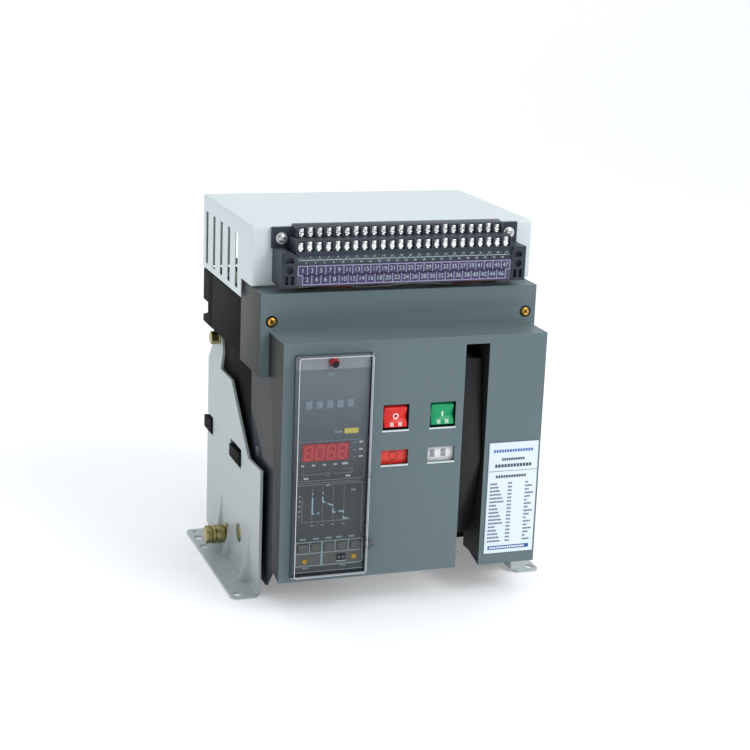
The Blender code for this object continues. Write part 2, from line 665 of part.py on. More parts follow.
def terminals(look):
    """Copper bars: each upper bar carries the fixed contact, each lower bar feeds the moving one."""
    upper_z, lower_z = span(UPPER_BAR_Z, BAR_THICK / 2), span(LOWER_BAR_Z, BAR_THICK / 2)
    for number, pole in enumerate(POLES, 1):
        upper = box("upper_terminal_%d" % number, span(pole, BAR_HALF), (0.2490, TOTAL_DEPTH), upper_z, look)
        join(upper, box("fixed_contact", span(pole, 0.0220), (0.2485, 0.2610), (0.2250, 0.2600)))
        join(upper, box("contact_pad", span(pole, 0.0200), (0.2458, 0.2500), (0.2320, 0.2480)))
        lower = box("lower_terminal_%d" % number, span(pole, BAR_HALF), (0.2310, TOTAL_DEPTH), lower_z, look)
        for bar, height in ((upper, UPPER_BAR_Z), (lower, LOWER_BAR_Z)):
            for offset in (-0.0160, 0.0160):
                cut(bar, rod("bolt_hole", "Z", height - 0.0200, height + 0.0200,
                             (pole + offset, 0.3130), 0.0055, None, 20))


def current_transformers(look):
    for number, pole in enumerate(POLES, 1):
        ring = box("current_transformer_%d" % number, span(pole, 0.0400), (0.2786, 0.2990),
                   span(LOWER_BAR_Z, 0.0230), look)
        cut(ring, box("bar_window", span(pole, BAR_HALF + 0.0006), (0.2700, 0.3100),
                      span(LOWER_BAR_Z, BAR_THICK / 2 + 0.0006)))


# ---------------------------------------------------------------- brackets and fasteners
def bracket(side, sign, look):
    """Pressed-steel angle: an upright with a stepped-in tab, and a foot with slotted holes."""
    outline = [(0.2940, 0.0), (0.2940, JOGGLE_Z[0]), (0.2934, JOGGLE_Z[1]), (0.2756, 0.2464),
               (0.2550, 0.2458), (0.2455, JOGGLE_Z[1]), (0.2368, JOGGLE_Z[0]), (0.1880, JOGGLE_Z[0]),
               (0.1115, 0.1410), (0.0605, 0.1425), (0.0605, 0.0)]
    inner = BRACKET_FACE - BRACKET_SHEET
    x = sorted((sign * inner, sign * BRACKET_FACE))
    made = side_outline("bracket_" + side, outline, x, look)
    bm = bmesh.new()
    bm.from_mesh(made.data)
    for height in JOGGLE_Z:
        bmesh.ops.bisect_plane(bm, geom=bm.verts[:] + bm.edges[:] + bm.faces[:], dist=0.00002,
                               plane_co=(0, 0, height), plane_no=(0, 0, 1))
    for vert in bm.verts:
        if vert.co.z > JOGGLE_Z[1] - 0.0001:
            vert.co.x -= sign * JOGGLE
    bm.to_mesh(made.data)
    bm.free()
    join(made, box("foot", sorted((sign * inner, sign * FOOT_X)), (0.0560, 0.2730), (0.0, BRACKET_SHEET)))
    reach = sorted((sign * 0.1400, sign * 0.1700))
    cut(made, box("front_hook_slot", reach, (FRONT_HOOK[0] - 0.0015, FRONT_HOOK[1] + 0.0015), HOOK_WINDOW_Z))
    cut(made, box("rear_hook_notch", reach, (REAR_HOOK[0] - 0.0015, 0.3100), HOOK_WINDOW_Z))
    cut(made, rod("bolt_clearance", "X", reach[0], reach[1], (0.1458, 0.0420), 0.0110))
    for depth, radius in ((0.0658, 0.0055), (0.2148, 0.0055), (0.2440, 0.0055), (0.2650, 0.0025)):
        cut(made, rod("foot_hole", "Z", -0.0100, 0.0100, (sign * 0.1725, depth), radius, None, 20))


def hex_bolt(name, sign, face, centre, flats, head, washer, look):
    """Hexagon head on a washer, lying along X on the face at |x| = face."""
    corner = flats / math.sqrt(3)
    inner = sign * (face + GAP)
    seat = sign * (face + GAP + 0.0016)
    outer = sign * (face + GAP + 0.0016 + head)
    bolt = rod(name, "X", min(inner, seat), max(inner, seat), centre, washer, look, 24)
    join(bolt, rod(name + "_head", "X", min(seat, outer) - 0.0002, max(seat, outer) + 0.0002,
                   centre, corner, None, 6))


def fasteners(look):
    for side, sign in (("left", -1), ("right", 1)):
        hex_bolt("bracket_top_bolt_" + side, sign, BRACKET_FACE - JOGGLE, (0.2650, 0.2390),
                 0.0130, 0.0085, 0.0080, look)
        hex_bolt("bracket_low_bolt_" + side, sign, BASE_LOW_X, (0.1458, 0.0420),
                 0.0130, 0.0060, 0.0080, look)


def earth_terminal(look):
    """Earthing bolt on the left bracket, with its nut run on the shank."""
    centre = (0.1958, 0.0240)
    corner = 0.0180 / math.sqrt(3)
    bolt = rod("earth_bolt", "X", -0.1770, -0.1680, centre, corner, look, 6)
    join(bolt, rod("shank", "X", -0.1700, -BRACKET_FACE - GAP, centre, 0.0058))
    join(bolt, rod("outer_washer", "X", -0.1690, -0.1660, centre, 0.0112))
    join(bolt, rod("inner_washer", "X", -0.1530, -BRACKET_FACE - GAP, centre, 0.0112))
    nut = rod("earth_nut", "X", -0.1655, -0.1540, centre, corner, look, 6)
    cut(nut, rod("nut_bore", "X", -0.1800, -0.1400, centre, 0.0058 + RUN))


# ---------------------------------------------------------------- assembly
def build():
    start()
    grey = material("front_moulding", (0.162, 0.223, 0.242), 0.38)
    pale = material("pale_painted_sheet", (0.63, 0.73, 0.75), 0.45)
    zinc_paint = material("bracket_paint", (0.52, 0.60, 0.62), 0.42)
    slate = material("terminal_moulding", (0.048, 0.062, 0.082), 0.40)
    black = material("base_moulding", (0.020, 0.020, 0.018), 0.45)
    navy = material("side_plate_paint", (0.018, 0.026, 0.038), 0.50)
    yellow_zinc = material("yellow_zinc", (0.50, 0.44, 0.18), 0.30, 1.0)
    steel = material("steel", (0.62, 0.62, 0.60), 0.30, 1.0)
    copper = material("tinned_copper", (0.70, 0.66, 0.60), 0.32, 1.0)
    red = material("red_button", (0.68, 0.030, 0.022), 0.35)
    green = material("green_button", (0.008, 0.300, 0.130), 0.35)
    red_flag = material("red_flag", (0.78, 0.045, 0.030), 0.40)
    white_flag = material("white_flag", (0.66, 0.70, 0.70), 0.40)
    face_grey = material("controller_face", (0.060, 0.066, 0.070), 0.45)
    housing_grey = material("controller_case", (0.040, 0.044, 0.048), 0.50)
    clear = material("clear_polycarbonate", (0.85, 0.88, 0.90), 0.08, 0.0, 0.25)
    label = material("nameplate_print", (0.70, 0.80, 0.86), 0.35)
    fibre = material("arc_chute_fibre", (0.60, 0.55, 0.45), 0.60)
    link_brown = material("link_insulation", (0.26, 0.10, 0.05), 0.50)
    coil_tape = material("coil_winding", (0.30, 0.12, 0.03), 0.45)
    wire = material("wire_insulation", (0.55, 0.52, 0.42), 0.50)
    handle_black = material("handle_moulding", (0.014, 0.014, 0.016), 0.42)
    transformer_black = material("transformer_case", (0.016, 0.017, 0.020), 0.40)

    front_cover(grey)
    front_screws(yellow_zinc)
    nameplate(label)
    arc_cover(pale)
    arc_chutes(fibre)
    terminal_block(slate)
    block_screws(steel)
    wiring_loom(wire)
    controller(housing_grey, face_grey, red, slate, clear)
    push_button("off_button", OFF_X, red)
    push_button("on_button", ON_X, green)
    flag("position_flag", OFF_X, red_flag)
    flag("charge_flag", ON_X, white_flag)
    charging_handle(handle_black)
    cam_shaft(steel)
    closing_spring(steel)
    mechanism_frame(steel)
    side_plates(navy)
    motor_and_coils(steel, coil_tape)
    main_shaft(steel)
    contacts(copper, link_brown)
    contact_housing(black)
    rear_base(black)
    terminals(copper)
    current_transformers(transformer_black)
    bracket("left", -1, zinc_paint)
    bracket("right", 1, zinc_paint)
    fasteners(yellow_zinc)
    earth_terminal(yellow_zinc)


build()
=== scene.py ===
"""Air circuit breaker: finishes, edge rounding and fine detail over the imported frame.

Metres, +Z up. As in the frame, X = 0 is the middle pole and depths are measured back from the panel face.
"""
import math

import bmesh
import bpy
from mathutils import Matrix, Vector


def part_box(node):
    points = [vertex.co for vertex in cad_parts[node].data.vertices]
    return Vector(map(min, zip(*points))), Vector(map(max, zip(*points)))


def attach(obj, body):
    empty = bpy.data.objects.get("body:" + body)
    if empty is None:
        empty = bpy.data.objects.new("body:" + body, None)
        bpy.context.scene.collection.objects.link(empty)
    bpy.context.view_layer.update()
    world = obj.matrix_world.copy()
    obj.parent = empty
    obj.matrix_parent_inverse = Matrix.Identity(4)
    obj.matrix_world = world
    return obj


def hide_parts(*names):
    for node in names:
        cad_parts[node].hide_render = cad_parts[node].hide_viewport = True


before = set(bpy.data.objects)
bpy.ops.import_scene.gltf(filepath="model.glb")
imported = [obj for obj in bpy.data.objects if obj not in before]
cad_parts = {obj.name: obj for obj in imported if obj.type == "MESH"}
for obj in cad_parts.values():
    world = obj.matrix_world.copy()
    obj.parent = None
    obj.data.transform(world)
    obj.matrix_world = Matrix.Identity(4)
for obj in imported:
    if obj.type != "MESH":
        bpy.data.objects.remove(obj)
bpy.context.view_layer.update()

PANEL_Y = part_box("front_cover")[0].y
OFF_X, ON_X = -0.0220, 0.0305
BUTTON_Z = 0.2118
FLAG_Z = 0.1680
DOOR_REAR = (-0.1350, -0.0497, 0.0415, 0.2845)     # left, right, low and high edge where it meets the panel
DOOR_FRONT = (-0.1335, -0.0535, 0.0465, 0.2842)    # and at its front
BRACKET_FACE = 0.1506
BRACKET_SHEET = 0.0030
HOOK_WINDOW_Z = (0.1192, 0.1413)
SKIN = 0.00006        # how far printing stands off what it is printed on
PRINT = 0.00005       # and how thick it is


def side_box(node):
    """A node's box as (x, depth, z) pairs, depths measured from the panel face."""
    low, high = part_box(node)
    return (low.x, high.x), (low.y - PANEL_Y, high.y - PANEL_Y), (low.z, high.z)


# ---------------------------------------------------------------- materials
def look(name, colour, rough, metal=0.0, mottle=0.06, patch=14.0, grain=900.0, bump=0.06, coat=0.0,
         brushed=None, edge_highlight=None, specular=0.5, flank_shade=None, fade=None):
    """Procedural finish: patchy colour, uneven gloss, fine surface grain and, if asked, painted edge
    highlights.

    brushed is the Mapping scale that draws the grain out along one axis; the edge highlight is (colour,
    radius) of a painted highlight along the edges; the flank shade is the darker colour painted as shade
    on faces that look left or right, with faint level tool marks; fade is (low height, high height, colour at
    the low end).
    """
    made = bpy.data.materials.new(name)
    made.use_nodes = True
    nodes = made.node_tree.nodes
    links = made.node_tree.links
    shader = nodes["Principled BSDF"]
    shader.inputs["Metallic"].default_value = metal
    shader.inputs["Coat Weight"].default_value = coat
    shader.inputs["Specular IOR Level"].default_value = specular
    where = nodes.new("ShaderNodeTexCoord").outputs["Object"]

    broad = nodes.new("ShaderNodeTexNoise")
    broad.inputs["Scale"].default_value = patch
    broad.inputs["Detail"].default_value = 5.0
    links.new(where, broad.inputs["Vector"])
    tint = nodes.new("ShaderNodeMix")
    tint.data_type = "RGBA"
    links.new(broad.outputs["Fac"], tint.inputs["Factor"])
    tint.inputs["A"].default_value = (*[c * (1 - mottle) for c in colour], 1.0)
    tint.inputs["B"].default_value = (*[min(1.0, c * (1 + mottle)) for c in colour], 1.0)
    painted = tint.outputs["Result"]
    if fade is not None:
        painted = add_fade(nodes, links, painted, where, *fade)
    if flank_shade is not None:
        painted = add_flank_shade(nodes, links, painted, where, flank_shade)

    fine_where = where
    if brushed is not None:
        stretch = nodes.new("ShaderNodeMapping")
        stretch.inputs["Scale"].default_value = brushed
        links.new(where, stretch.inputs["Vector"])
        fine_where = stretch.outputs["Vector"]
    fine = nodes.new("ShaderNodeTexNoise")
    fine.inputs["Scale"].default_value = grain
    fine.inputs["Detail"].default_value = 3.0
    links.new(fine_where, fine.inputs["Vector"])

    if edge_highlight is not None:
        painted = add_edge_highlight(nodes, links, painted, fine.outputs["Fac"], *edge_highlight)
    links.new(painted, shader.inputs["Base Color"])

    gloss = nodes.new("ShaderNodeMapRange")
    links.new((fine if brushed is not None else broad).outputs["Fac"], gloss.inputs["Value"])
    gloss.inputs["To Min"].default_value = max(0.03, rough - 0.08)
    gloss.inputs["To Max"].default_value = rough + 0.08
    links.new(gloss.outputs["Result"], shader.inputs["Roughness"])

    relief = nodes.new("ShaderNodeBump")
    relief.inputs["Strength"].default_value = bump
    relief.inputs["Distance"].default_value = 0.0004
    links.new(fine.outputs["Fac"], relief.inputs["Height"])
    links.new(relief.outputs["Normal"], shader.inputs["Normal"])
    return made


def add_fade(nodes, links, painted, where, low, high, colour):
    """Blend to another colour from a high level down to a low one."""
    parts = nodes.new("ShaderNodeSeparateXYZ")
    links.new(where, parts.inputs["Vector"])
    level = nodes.new("ShaderNodeMapRange")
    level.inputs["From Min"].default_value = high
    level.inputs["From Max"].default_value = low
    links.new(parts.outputs["Z"], level.inputs["Value"])
    blend = nodes.new("ShaderNodeMix")
    blend.data_type = "RGBA"
    links.new(level.outputs["Result"], blend.inputs["Factor"])
    links.new(painted, blend.inputs["A"])
    blend.inputs["B"].default_value = (*colour, 1.0)
    return blend.outputs["Result"]


def add_flank_shade(nodes, links, painted, where, colour):
    """Darken faces that look left or right as painted shade, since those sides are lit less, with faint level
    tool marks.
    """
    facing = nodes.new("ShaderNodeSeparateXYZ")
    links.new(nodes.new("ShaderNodeTexCoord").outputs["Normal"], facing.inputs["Vector"])
    size = nodes.new("ShaderNodeMath")
    size.operation = "ABSOLUTE"
    links.new(facing.outputs["X"], size.inputs[0])
    share = nodes.new("ShaderNodeMapRange")
    share.inputs["From Min"].default_value = 0.70
    share.inputs["From Max"].default_value = 0.95
    links.new(size.outputs["Value"], share.inputs["Value"])
    stretch = nodes.new("ShaderNodeMapping")
    stretch.inputs["Scale"].default_value = (1.0, 2.0, 60.0)
    links.new(where, stretch.inputs["Vector"])
    lines = nodes.new("ShaderNodeTexNoise")
    lines.inputs["Scale"].default_value = 9.0
    lines.inputs["Detail"].default_value = 4.0
    links.new(stretch.outputs["Vector"], lines.inputs["Vector"])
    marked = nodes.new("ShaderNodeMix")
    marked.data_type = "RGBA"
    links.new(lines.outputs["Fac"], marked.inputs["Factor"])
    marked.inputs["A"].default_value = (*[c * 0.78 for c in colour], 1.0)
    marked.inputs["B"].default_value = (*[c * 1.22 for c in colour], 1.0)
    blend = nodes.new("ShaderNodeMix")
    blend.data_type = "RGBA"
    links.new(share.outputs["Result"], blend.inputs["Factor"])
    links.new(painted, blend.inputs["A"])
    links.new(marked.outputs["Result"], blend.inputs["B"])
    return blend.outputs["Result"]


def add_edge_highlight(nodes, links, painted, noise, colour, radius):
    """Painted highlight: lighter colour along the edges, where they catch the light, broken up by noise."""
    rounded = nodes.new("ShaderNodeBevel")
    rounded.samples = 4
    rounded.inputs["Radius"].default_value = radius
    true_face = nodes.new("ShaderNodeNewGeometry")
    facing = nodes.new("ShaderNodeVectorMath")
    facing.operation = "DOT_PRODUCT"
    links.new(rounded.outputs["Normal"], facing.inputs[0])
    links.new(true_face.outputs["Normal"], facing.inputs[1])
    edge = nodes.new("ShaderNodeMapRange")
    edge.inputs["From Min"].default_value = 0.995
    edge.inputs["From Max"].default_value = 0.86
    edge.inputs["To Max"].default_value = 0.55
    links.new(facing.outputs["Value"], edge.inputs["Value"])
    broken = nodes.new("ShaderNodeMath")
    broken.operation = "MULTIPLY"
    links.new(edge.outputs["Result"], broken.inputs[0])
    links.new(noise, broken.inputs[1])
    blend = nodes.new("ShaderNodeMix")
    blend.data_type = "RGBA"
    links.new(broken.outputs["Value"], blend.inputs["Factor"])
    links.new(painted, blend.inputs["A"])
    blend.inputs["B"].default_value = (*colour, 1.0)
    return blend.outputs["Result"]


def clear_plastic(name):
    """Thin clear polycarbonate: what is behind shows through, and its skin mirrors at glancing angles."""
    made = bpy.data.materials.new(name)
    made.use_nodes = True
    nodes = made.node_tree.nodes
    links = made.node_tree.links
    nodes.remove(nodes["Principled BSDF"])
    through = nodes.new("ShaderNodeBsdfTransparent")
    through.inputs["Color"].default_value = (0.90, 0.92, 0.93, 1.0)
    skin = nodes.new("ShaderNodeBsdfPrincipled")
    skin.inputs["Base Color"].default_value = (0.14, 0.15, 0.17, 1.0)
    where = nodes.new("ShaderNodeTexCoord")
    haze = nodes.new("ShaderNodeTexNoise")
    haze.inputs["Scale"].default_value = 35.0
    haze.inputs["Detail"].default_value = 6.0
    links.new(where.outputs["Object"], haze.inputs["Vector"])
    gloss = nodes.new("ShaderNodeMapRange")
    gloss.inputs["To Min"].default_value = 0.04
    gloss.inputs["To Max"].default_value = 0.16
    links.new(haze.outputs["Fac"], gloss.inputs["Value"])
    links.new(gloss.outputs["Result"], skin.inputs["Roughness"])
    glance = nodes.new("ShaderNodeLayerWeight")
    glance.inputs["Blend"].default_value = 0.30
    share = nodes.new("ShaderNodeMapRange")
    share.inputs["To Min"].default_value = 0.015
    share.inputs["To Max"].default_value = 0.38
    links.new(glance.outputs["Fresnel"], share.inputs["Value"])
    mix = nodes.new("ShaderNodeMixShader")
    links.new(share.outputs["Result"], mix.inputs["Fac"])
    links.new(through.outputs["BSDF"], mix.inputs[1])
    links.new(skin.outputs["BSDF"], mix.inputs[2])
    links.new(mix.outputs["Shader"], nodes["Material Output"].inputs["Surface"])
    return made


def lit(name, colour, strength):
    """Display segments that glow a little."""
    made = look(name, colour, 0.4, grain=500.0)
    shader = made.node_tree.nodes["Principled BSDF"]
    shader.inputs["Emission Color"].default_value = (*colour, 1.0)
    shader.inputs["Emission Strength"].default_value = strength
    return made


# The edge colours given below are painted highlights along the edges; the flank colour of the front moulding
# is painted shade on its side faces.
GREY = look("front_moulding", (0.130, 0.176, 0.188), 0.42, specular=0.15, mottle=0.05, patch=6.0,
            grain=1300.0, bump=0.10,
            edge_highlight=((0.30, 0.36, 0.38), 0.0008),
            flank_shade=(0.020, 0.022, 0.022))
PALE = look("cover_paint", (0.63, 0.70, 0.715), 0.42, mottle=0.025, patch=5.0, grain=1700.0, bump=0.10,
            edge_highlight=((0.80, 0.86, 0.86), 0.0008))
BRACKET = look("bracket_paint", (0.42, 0.47, 0.47), 0.36, mottle=0.05, patch=9.0, grain=1100.0, bump=0.12,
               edge_highlight=((0.72, 0.80, 0.80), 0.0008))
SLATE = look("terminal_moulding", (0.026, 0.035, 0.050), 0.38, specular=0.3, mottle=0.08, patch=30.0,
             grain=1500.0,
             bump=0.08, edge_highlight=((0.26, 0.31, 0.38), 0.0006))
BLACK = look("base_moulding", (0.010, 0.010, 0.010), 0.60, specular=0.03, mottle=0.16, patch=22.0,
             grain=800.0, bump=0.20,
             edge_highlight=((0.07, 0.07, 0.065), 0.0007))
NAVY = look("side_plate_paint", (0.012, 0.018, 0.026), 0.45, specular=0.2, mottle=0.10, patch=12.0,
            grain=1000.0, bump=0.10)
ZINC = look("yellow_zinc", (0.38, 0.33, 0.14), 0.30, metal=1.0, mottle=0.35, patch=160.0, grain=700.0,
            bump=0.15)
STEEL = look("bright_steel", (0.66, 0.67, 0.66), 0.28, metal=1.0, mottle=0.12, patch=120.0, grain=240.0,
             bump=0.15, brushed=(1.0, 1.0, 8.0))
NICKEL = look("plated_clamp", (0.78, 0.82, 0.80), 0.20, metal=1.0, mottle=0.12, patch=400.0, grain=900.0,
              bump=0.10)
TIN = look("tinned_bar", (0.62, 0.60, 0.55), 0.34, metal=1.0, mottle=0.14, patch=25.0, grain=260.0, bump=0.18,
           brushed=(1.0, 12.0, 12.0))
BRASS = look("brass", (0.80, 0.46, 0.08), 0.30, metal=1.0, mottle=0.20, patch=200.0, grain=700.0, bump=0.10)
RED = look("red_plastic", (0.70, 0.022, 0.016), 0.30, specular=0.3, mottle=0.10, patch=60.0, grain=1200.0,
           bump=0.06,
           edge_highlight=((0.85, 0.20, 0.15), 0.0005))
GREEN = look("green_plastic", (0.004, 0.310, 0.115), 0.30, specular=0.3, mottle=0.10, patch=60.0,
             grain=1200.0, bump=0.06,
             edge_highlight=((0.10, 0.55, 0.30), 0.0005))
RED_FLAG = look("red_flag", (0.76, 0.045, 0.028), 0.42, mottle=0.10, patch=50.0, grain=900.0)
WHITE_FLAG = look("white_flag", (0.80, 0.82, 0.82), 0.42, mottle=0.06, patch=50.0, grain=900.0)
FACE = look("controller_face", (0.235, 0.262, 0.290), 0.50, mottle=0.10, patch=30.0, grain=1500.0, bump=0.05,
            fade=(0.150, 0.250, (0.092, 0.092, 0.094)))
BAND = look("controller_band", (0.42, 0.42, 0.43), 0.50, mottle=0.06, patch=40.0, grain=1500.0)
CASE = look("controller_case", (0.030, 0.033, 0.036), 0.50, specular=0.25, mottle=0.12, patch=20.0,
            grain=900.0, bump=0.12)
KEY = look("key_membrane", (0.150, 0.143, 0.130), 0.45, mottle=0.08, patch=80.0, grain=1300.0)
LABEL = look("nameplate_print", (0.72, 0.82, 0.92), 0.36, mottle=0.05, patch=18.0, grain=1400.0, bump=0.03)
INK = look("dark_ink", (0.045, 0.055, 0.085), 0.50, mottle=0.15, patch=90.0)
BLUE_INK = look("blue_ink", (0.010, 0.085, 0.330), 0.45, mottle=0.10, patch=90.0)
PALE_INK = look("pale_ink", (0.42, 0.52, 0.56), 0.50, mottle=0.10, patch=120.0)
GREY_INK = look("grey_ink", (0.30, 0.33, 0.34), 0.50, mottle=0.10, patch=120.0)
WHITE_INK = look("white_ink", (0.85, 0.87, 0.87), 0.50, mottle=0.04, patch=120.0)
LILAC_INK = look("lilac_ink", (0.33, 0.30, 0.50), 0.50, mottle=0.08, patch=120.0)
STRIP = look("marking_strip", (0.062, 0.058, 0.100), 0.42, mottle=0.08, patch=40.0, grain=1200.0, bump=0.03)
CELL = look("marking_cells", (0.034, 0.029, 0.088), 0.42, mottle=0.08, patch=40.0, grain=1200.0, bump=0.03)
CURVE_INK = look("curve_ink", (0.56, 0.76, 0.84), 0.50, mottle=0.05, patch=120.0)
# Pale opaque beads on the door: painted highlights for the light its rounded clear edges catch.
RIM_HIGHLIGHT = look("rim_painted_highlight", (0.72, 0.73, 0.76), 0.16, mottle=0.08, patch=60.0, bump=0.02, coat=0.4)
SHADE = look("tray_shadow", (0.020, 0.023, 0.026), 0.60, mottle=0.15, patch=60.0)
MARK_RED = look("position_ink", (0.13, 0.008, 0.005), 0.50, mottle=0.10, patch=90.0)
YELLOW = look("yellow_tag", (0.86, 0.70, 0.15), 0.50, mottle=0.08, patch=90.0)
DISPLAY = look("display_window", (0.52, 0.060, 0.066), 0.30, mottle=0.14, patch=160.0, bump=0.02)
DIGITS = lit("display_digits", (0.70, 0.095, 0.100), 0.12)
CLEAR = clear_plastic("clear_polycarbonate")
FIBRE = look("arc_chute_fibre", (0.50, 0.44, 0.33), 0.60, mottle=0.12, patch=30.0, grain=600.0, bump=0.30)
LINK = look("link_insulation", (0.22, 0.08, 0.04), 0.45, mottle=0.12, patch=40.0, grain=500.0, bump=0.20)
COIL = look("coil_winding", (0.25, 0.10, 0.03), 0.40, mottle=0.15, patch=60.0, grain=300.0, bump=0.30)
HANDLE = look("handle_moulding", (0.011, 0.011, 0.013), 0.34, specular=0.3, mottle=0.15, patch=18.0,
              grain=1400.0, bump=0.10,
              edge_highlight=((0.06, 0.06, 0.065), 0.0008))
SEAL = look("sealing_wire", (0.20, 0.20, 0.20), 0.35, metal=1.0, mottle=0.15, patch=200.0, grain=500.0)
# Near-black for the selector window and reset centre, and painted shade in the screw recesses.
BLACK_AND_SHADE = look("black_and_painted_shade", (0.008, 0.008, 0.008), 0.70, mottle=0.20, patch=60.0)
WIRES = {
    "white": look("white_wire", (0.30, 0.28, 0.25), 0.45, mottle=0.08, patch=90.0),
    "yellow": look("yellow_wire", (0.28, 0.20, 0.06), 0.45, mottle=0.08, patch=90.0),
    "green": look("green_wire", (0.02, 0.28, 0.14), 0.45, mottle=0.08, patch=90.0),
    "red": look("red_wire", (0.25, 0.03, 0.02), 0.45, mottle=0.08, patch=90.0),
    "black": look("black_wire", (0.015, 0.015, 0.015), 0.45, mottle=0.20, patch=90.0),
}


# ---------------------------------------------------------------- mesh helpers
def at(x, depth, z):
    return Vector((x, PANEL_Y + depth, z))


def piece(name, source, finish, body="root", smooth=None, stands_for=()):
    """Make a shown piece from a bmesh or a mesh, and let it ride on a body."""
    mesh = source
    if isinstance(source, bmesh.types.BMesh):
        bmesh.ops.recalc_face_normals(source, faces=source.faces)
        mesh = bpy.data.meshes.new(name)
        source.to_mesh(mesh)
        source.free()
    if not mesh.materials:
        mesh.materials.append(finish)
    if smooth is not None:
        mesh.shade_smooth()
        mesh.set_sharp_from_angle(angle=math.radians(smooth))
    made = bpy.data.objects.new(name, mesh)
    bpy.context.scene.collection.objects.link(made)
    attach(made, body)
    if stands_for:
        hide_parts(*stands_for)
    return made


def put_box(bm, x, depth, z, round_by=0.0, steps=2):
    """Add a box with rounded edges: (low, high) along X, depth and height."""
    size = [abs(pair[1] - pair[0]) for pair in (x, depth, z)]
    middle = at(sum(x) / 2, sum(depth) / 2, sum(z) / 2)
    shape = Matrix.Translation(middle) @ Matrix.Diagonal((*size, 1.0))
    verts = bmesh.ops.create_cube(bm, size=1.0, matrix=shape)["verts"]
    if round_by:
        edges = {edge for vert in verts for edge in vert.link_edges}
        bmesh.ops.bevel(bm, geom=list(edges), offset=round_by, segments=steps, profile=0.5, affect="EDGES",
                        clamp_overlap=True)


def put_prism(bm, near_places, far_places):
    """Add the closed solid between two matching loops of corners."""
    near = [bm.verts.new(place) for place in near_places]
    far = [bm.verts.new(place) for place in far_places]
    bm.faces.new(near)
    bm.faces.new(list(reversed(far)))
    for index in range(len(near)):
        after = (index + 1) % len(near)
        bm.faces.new((near[index], far[index], far[after], near[after]))


def put_outline(bm, points, front, back):
    """Add a flat (x, z) outline extruded from front to back depth."""
    put_prism(bm, [at(x, front, z) for x, z in points], [at(x, back, z) for x, z in points])


def bar(x, z):
    """Corners of an upright rectangle."""
    return [(x[0], z[0]), (x[1], z[0]), (x[1], z[1]), (x[0], z[1])]


def ring_points(centre, radius, count=24):
    return [(centre[0] + radius * math.cos(2 * math.pi * step / count),
             centre[1] + radius * math.sin(2 * math.pi * step / count)) for step in range(count)]


def put_ring(bm, centre, outer, inner, front, back, count=24):
    """Add a flat ring, such as a printed circle."""
    loops = []
    for radius, depth in ((outer, front), (inner, front), (inner, back), (outer, back)):
        loops.append([bm.verts.new(at(x, depth, z)) for x, z in ring_points(centre, radius, count)])
    for loop, following in zip(loops, loops[1:] + loops[:1]):
        for index in range(count):
            after = (index + 1) % count
            bm.faces.new((loop[index], loop[after], following[after], following[index]))


def rounded_rectangle(x, z, radius, steps=5):
    points = []
    for corner_x, corner_z, first in ((x[1] - radius, z[1] - radius, 0), (x[0] + radius, z[1] - radius, 90),
                                      (x[0] + radius, z[0] + radius, 180),
                                      (x[1] - radius, z[0] + radius, 270)):
        for step in range(steps + 1):
            angle = math.radians(first + 90 * step / steps)
            points.append((corner_x + radius * math.cos(angle), corner_z + radius * math.sin(angle)))
    return points


def put_turned(bm, profile, centre, axis, sign=1, count=28):
    """Turn a (radius, distance) profile about an axis through centre; distance grows along sign * axis."""
    way = {"X": Vector((1, 0, 0)), "Y": Vector((0, 1, 0)), "Z": Vector((0, 0, 1))}[axis] * sign
    across = way.orthogonal().normalized()
    other = way.cross(across)
    loops = []
    for radius, distance in profile:
        middle = centre + way * distance
        if radius < 1e-6:
            loops.append([bm.verts.new(middle)])
            continue
        loops.append([bm.verts.new(middle + radius * (across * math.cos(a) + other * math.sin(a)))
                      for a in (2 * math.pi * step / count for step in range(count))])
    for near, far in zip(loops, loops[1:]):
        for index in range(count):
            after = (index + 1) % count
            corners = [near[index % len(near)], near[after % len(near)], far[after % len(far)],
                       far[index % len(far)]]
            distinct = list(dict.fromkeys(corners))
            if len(distinct) > 2:
                bm.faces.new(distinct)


def put_hexagon(bm, flats, centre, axis, start, end, sign=1, chamfer=0.0006, bore=0.0):
    """A hexagon head or nut with chamfered corners, from start to end along sign * axis."""
    way = {"X": Vector((1, 0, 0)), "Y": Vector((0, 1, 0)), "Z": Vector((0, 0, 1))}[axis] * sign
    across = way.orthogonal().normalized()
    other = way.cross(across)
    corner = flats / math.sqrt(3)
    count = 36
    loops = []

    def loop(radius_at, distance):
        loops.append([bm.verts.new(centre + way * distance
                                   + radius_at(a) * (across * math.cos(a) + other * math.sin(a)))
                      for a in (2 * math.pi * step / count for step in range(count))])

    def hexagon(a):
        return flats / 2 / math.cos((a + math.pi / 6) % (math.pi / 3) - math.pi / 6)

    def trimmed(limit):
        return lambda a: min(hexagon(a), limit)

    if bore:
        loop(lambda a: bore, start)
    loop(trimmed(corner - 2 * chamfer), start)
    loop(hexagon, start + chamfer)
    loop(hexagon, end - chamfer)
    loop(trimmed(corner - 2 * chamfer), end)
    loop(trimmed(flats * 0.40), end + 0.0001)
    if bore:
        loop(lambda a: bore, end)
    for near, far in zip(loops, loops[1:]):
        for index in range(count):
            after = (index + 1) % count
            bm.faces.new((near[index], near[after], far[after], far[index]))
    if bore:
        for index in range(count):
            after = (index + 1) % count
            bm.faces.new((loops[-1][index], loops[-1][after], loops[0][after], loops[0][index]))
    else:
        bm.faces.new(list(reversed(loops[0])))
        bm.faces.new(loops[-1])


def baked_mesh(made):
    """The mesh of an object with its modifiers applied."""
    bpy.context.view_layer.update()
    return bpy.data.meshes.new_from_object(made.evaluated_get(bpy.context.evaluated_depsgraph_get()))


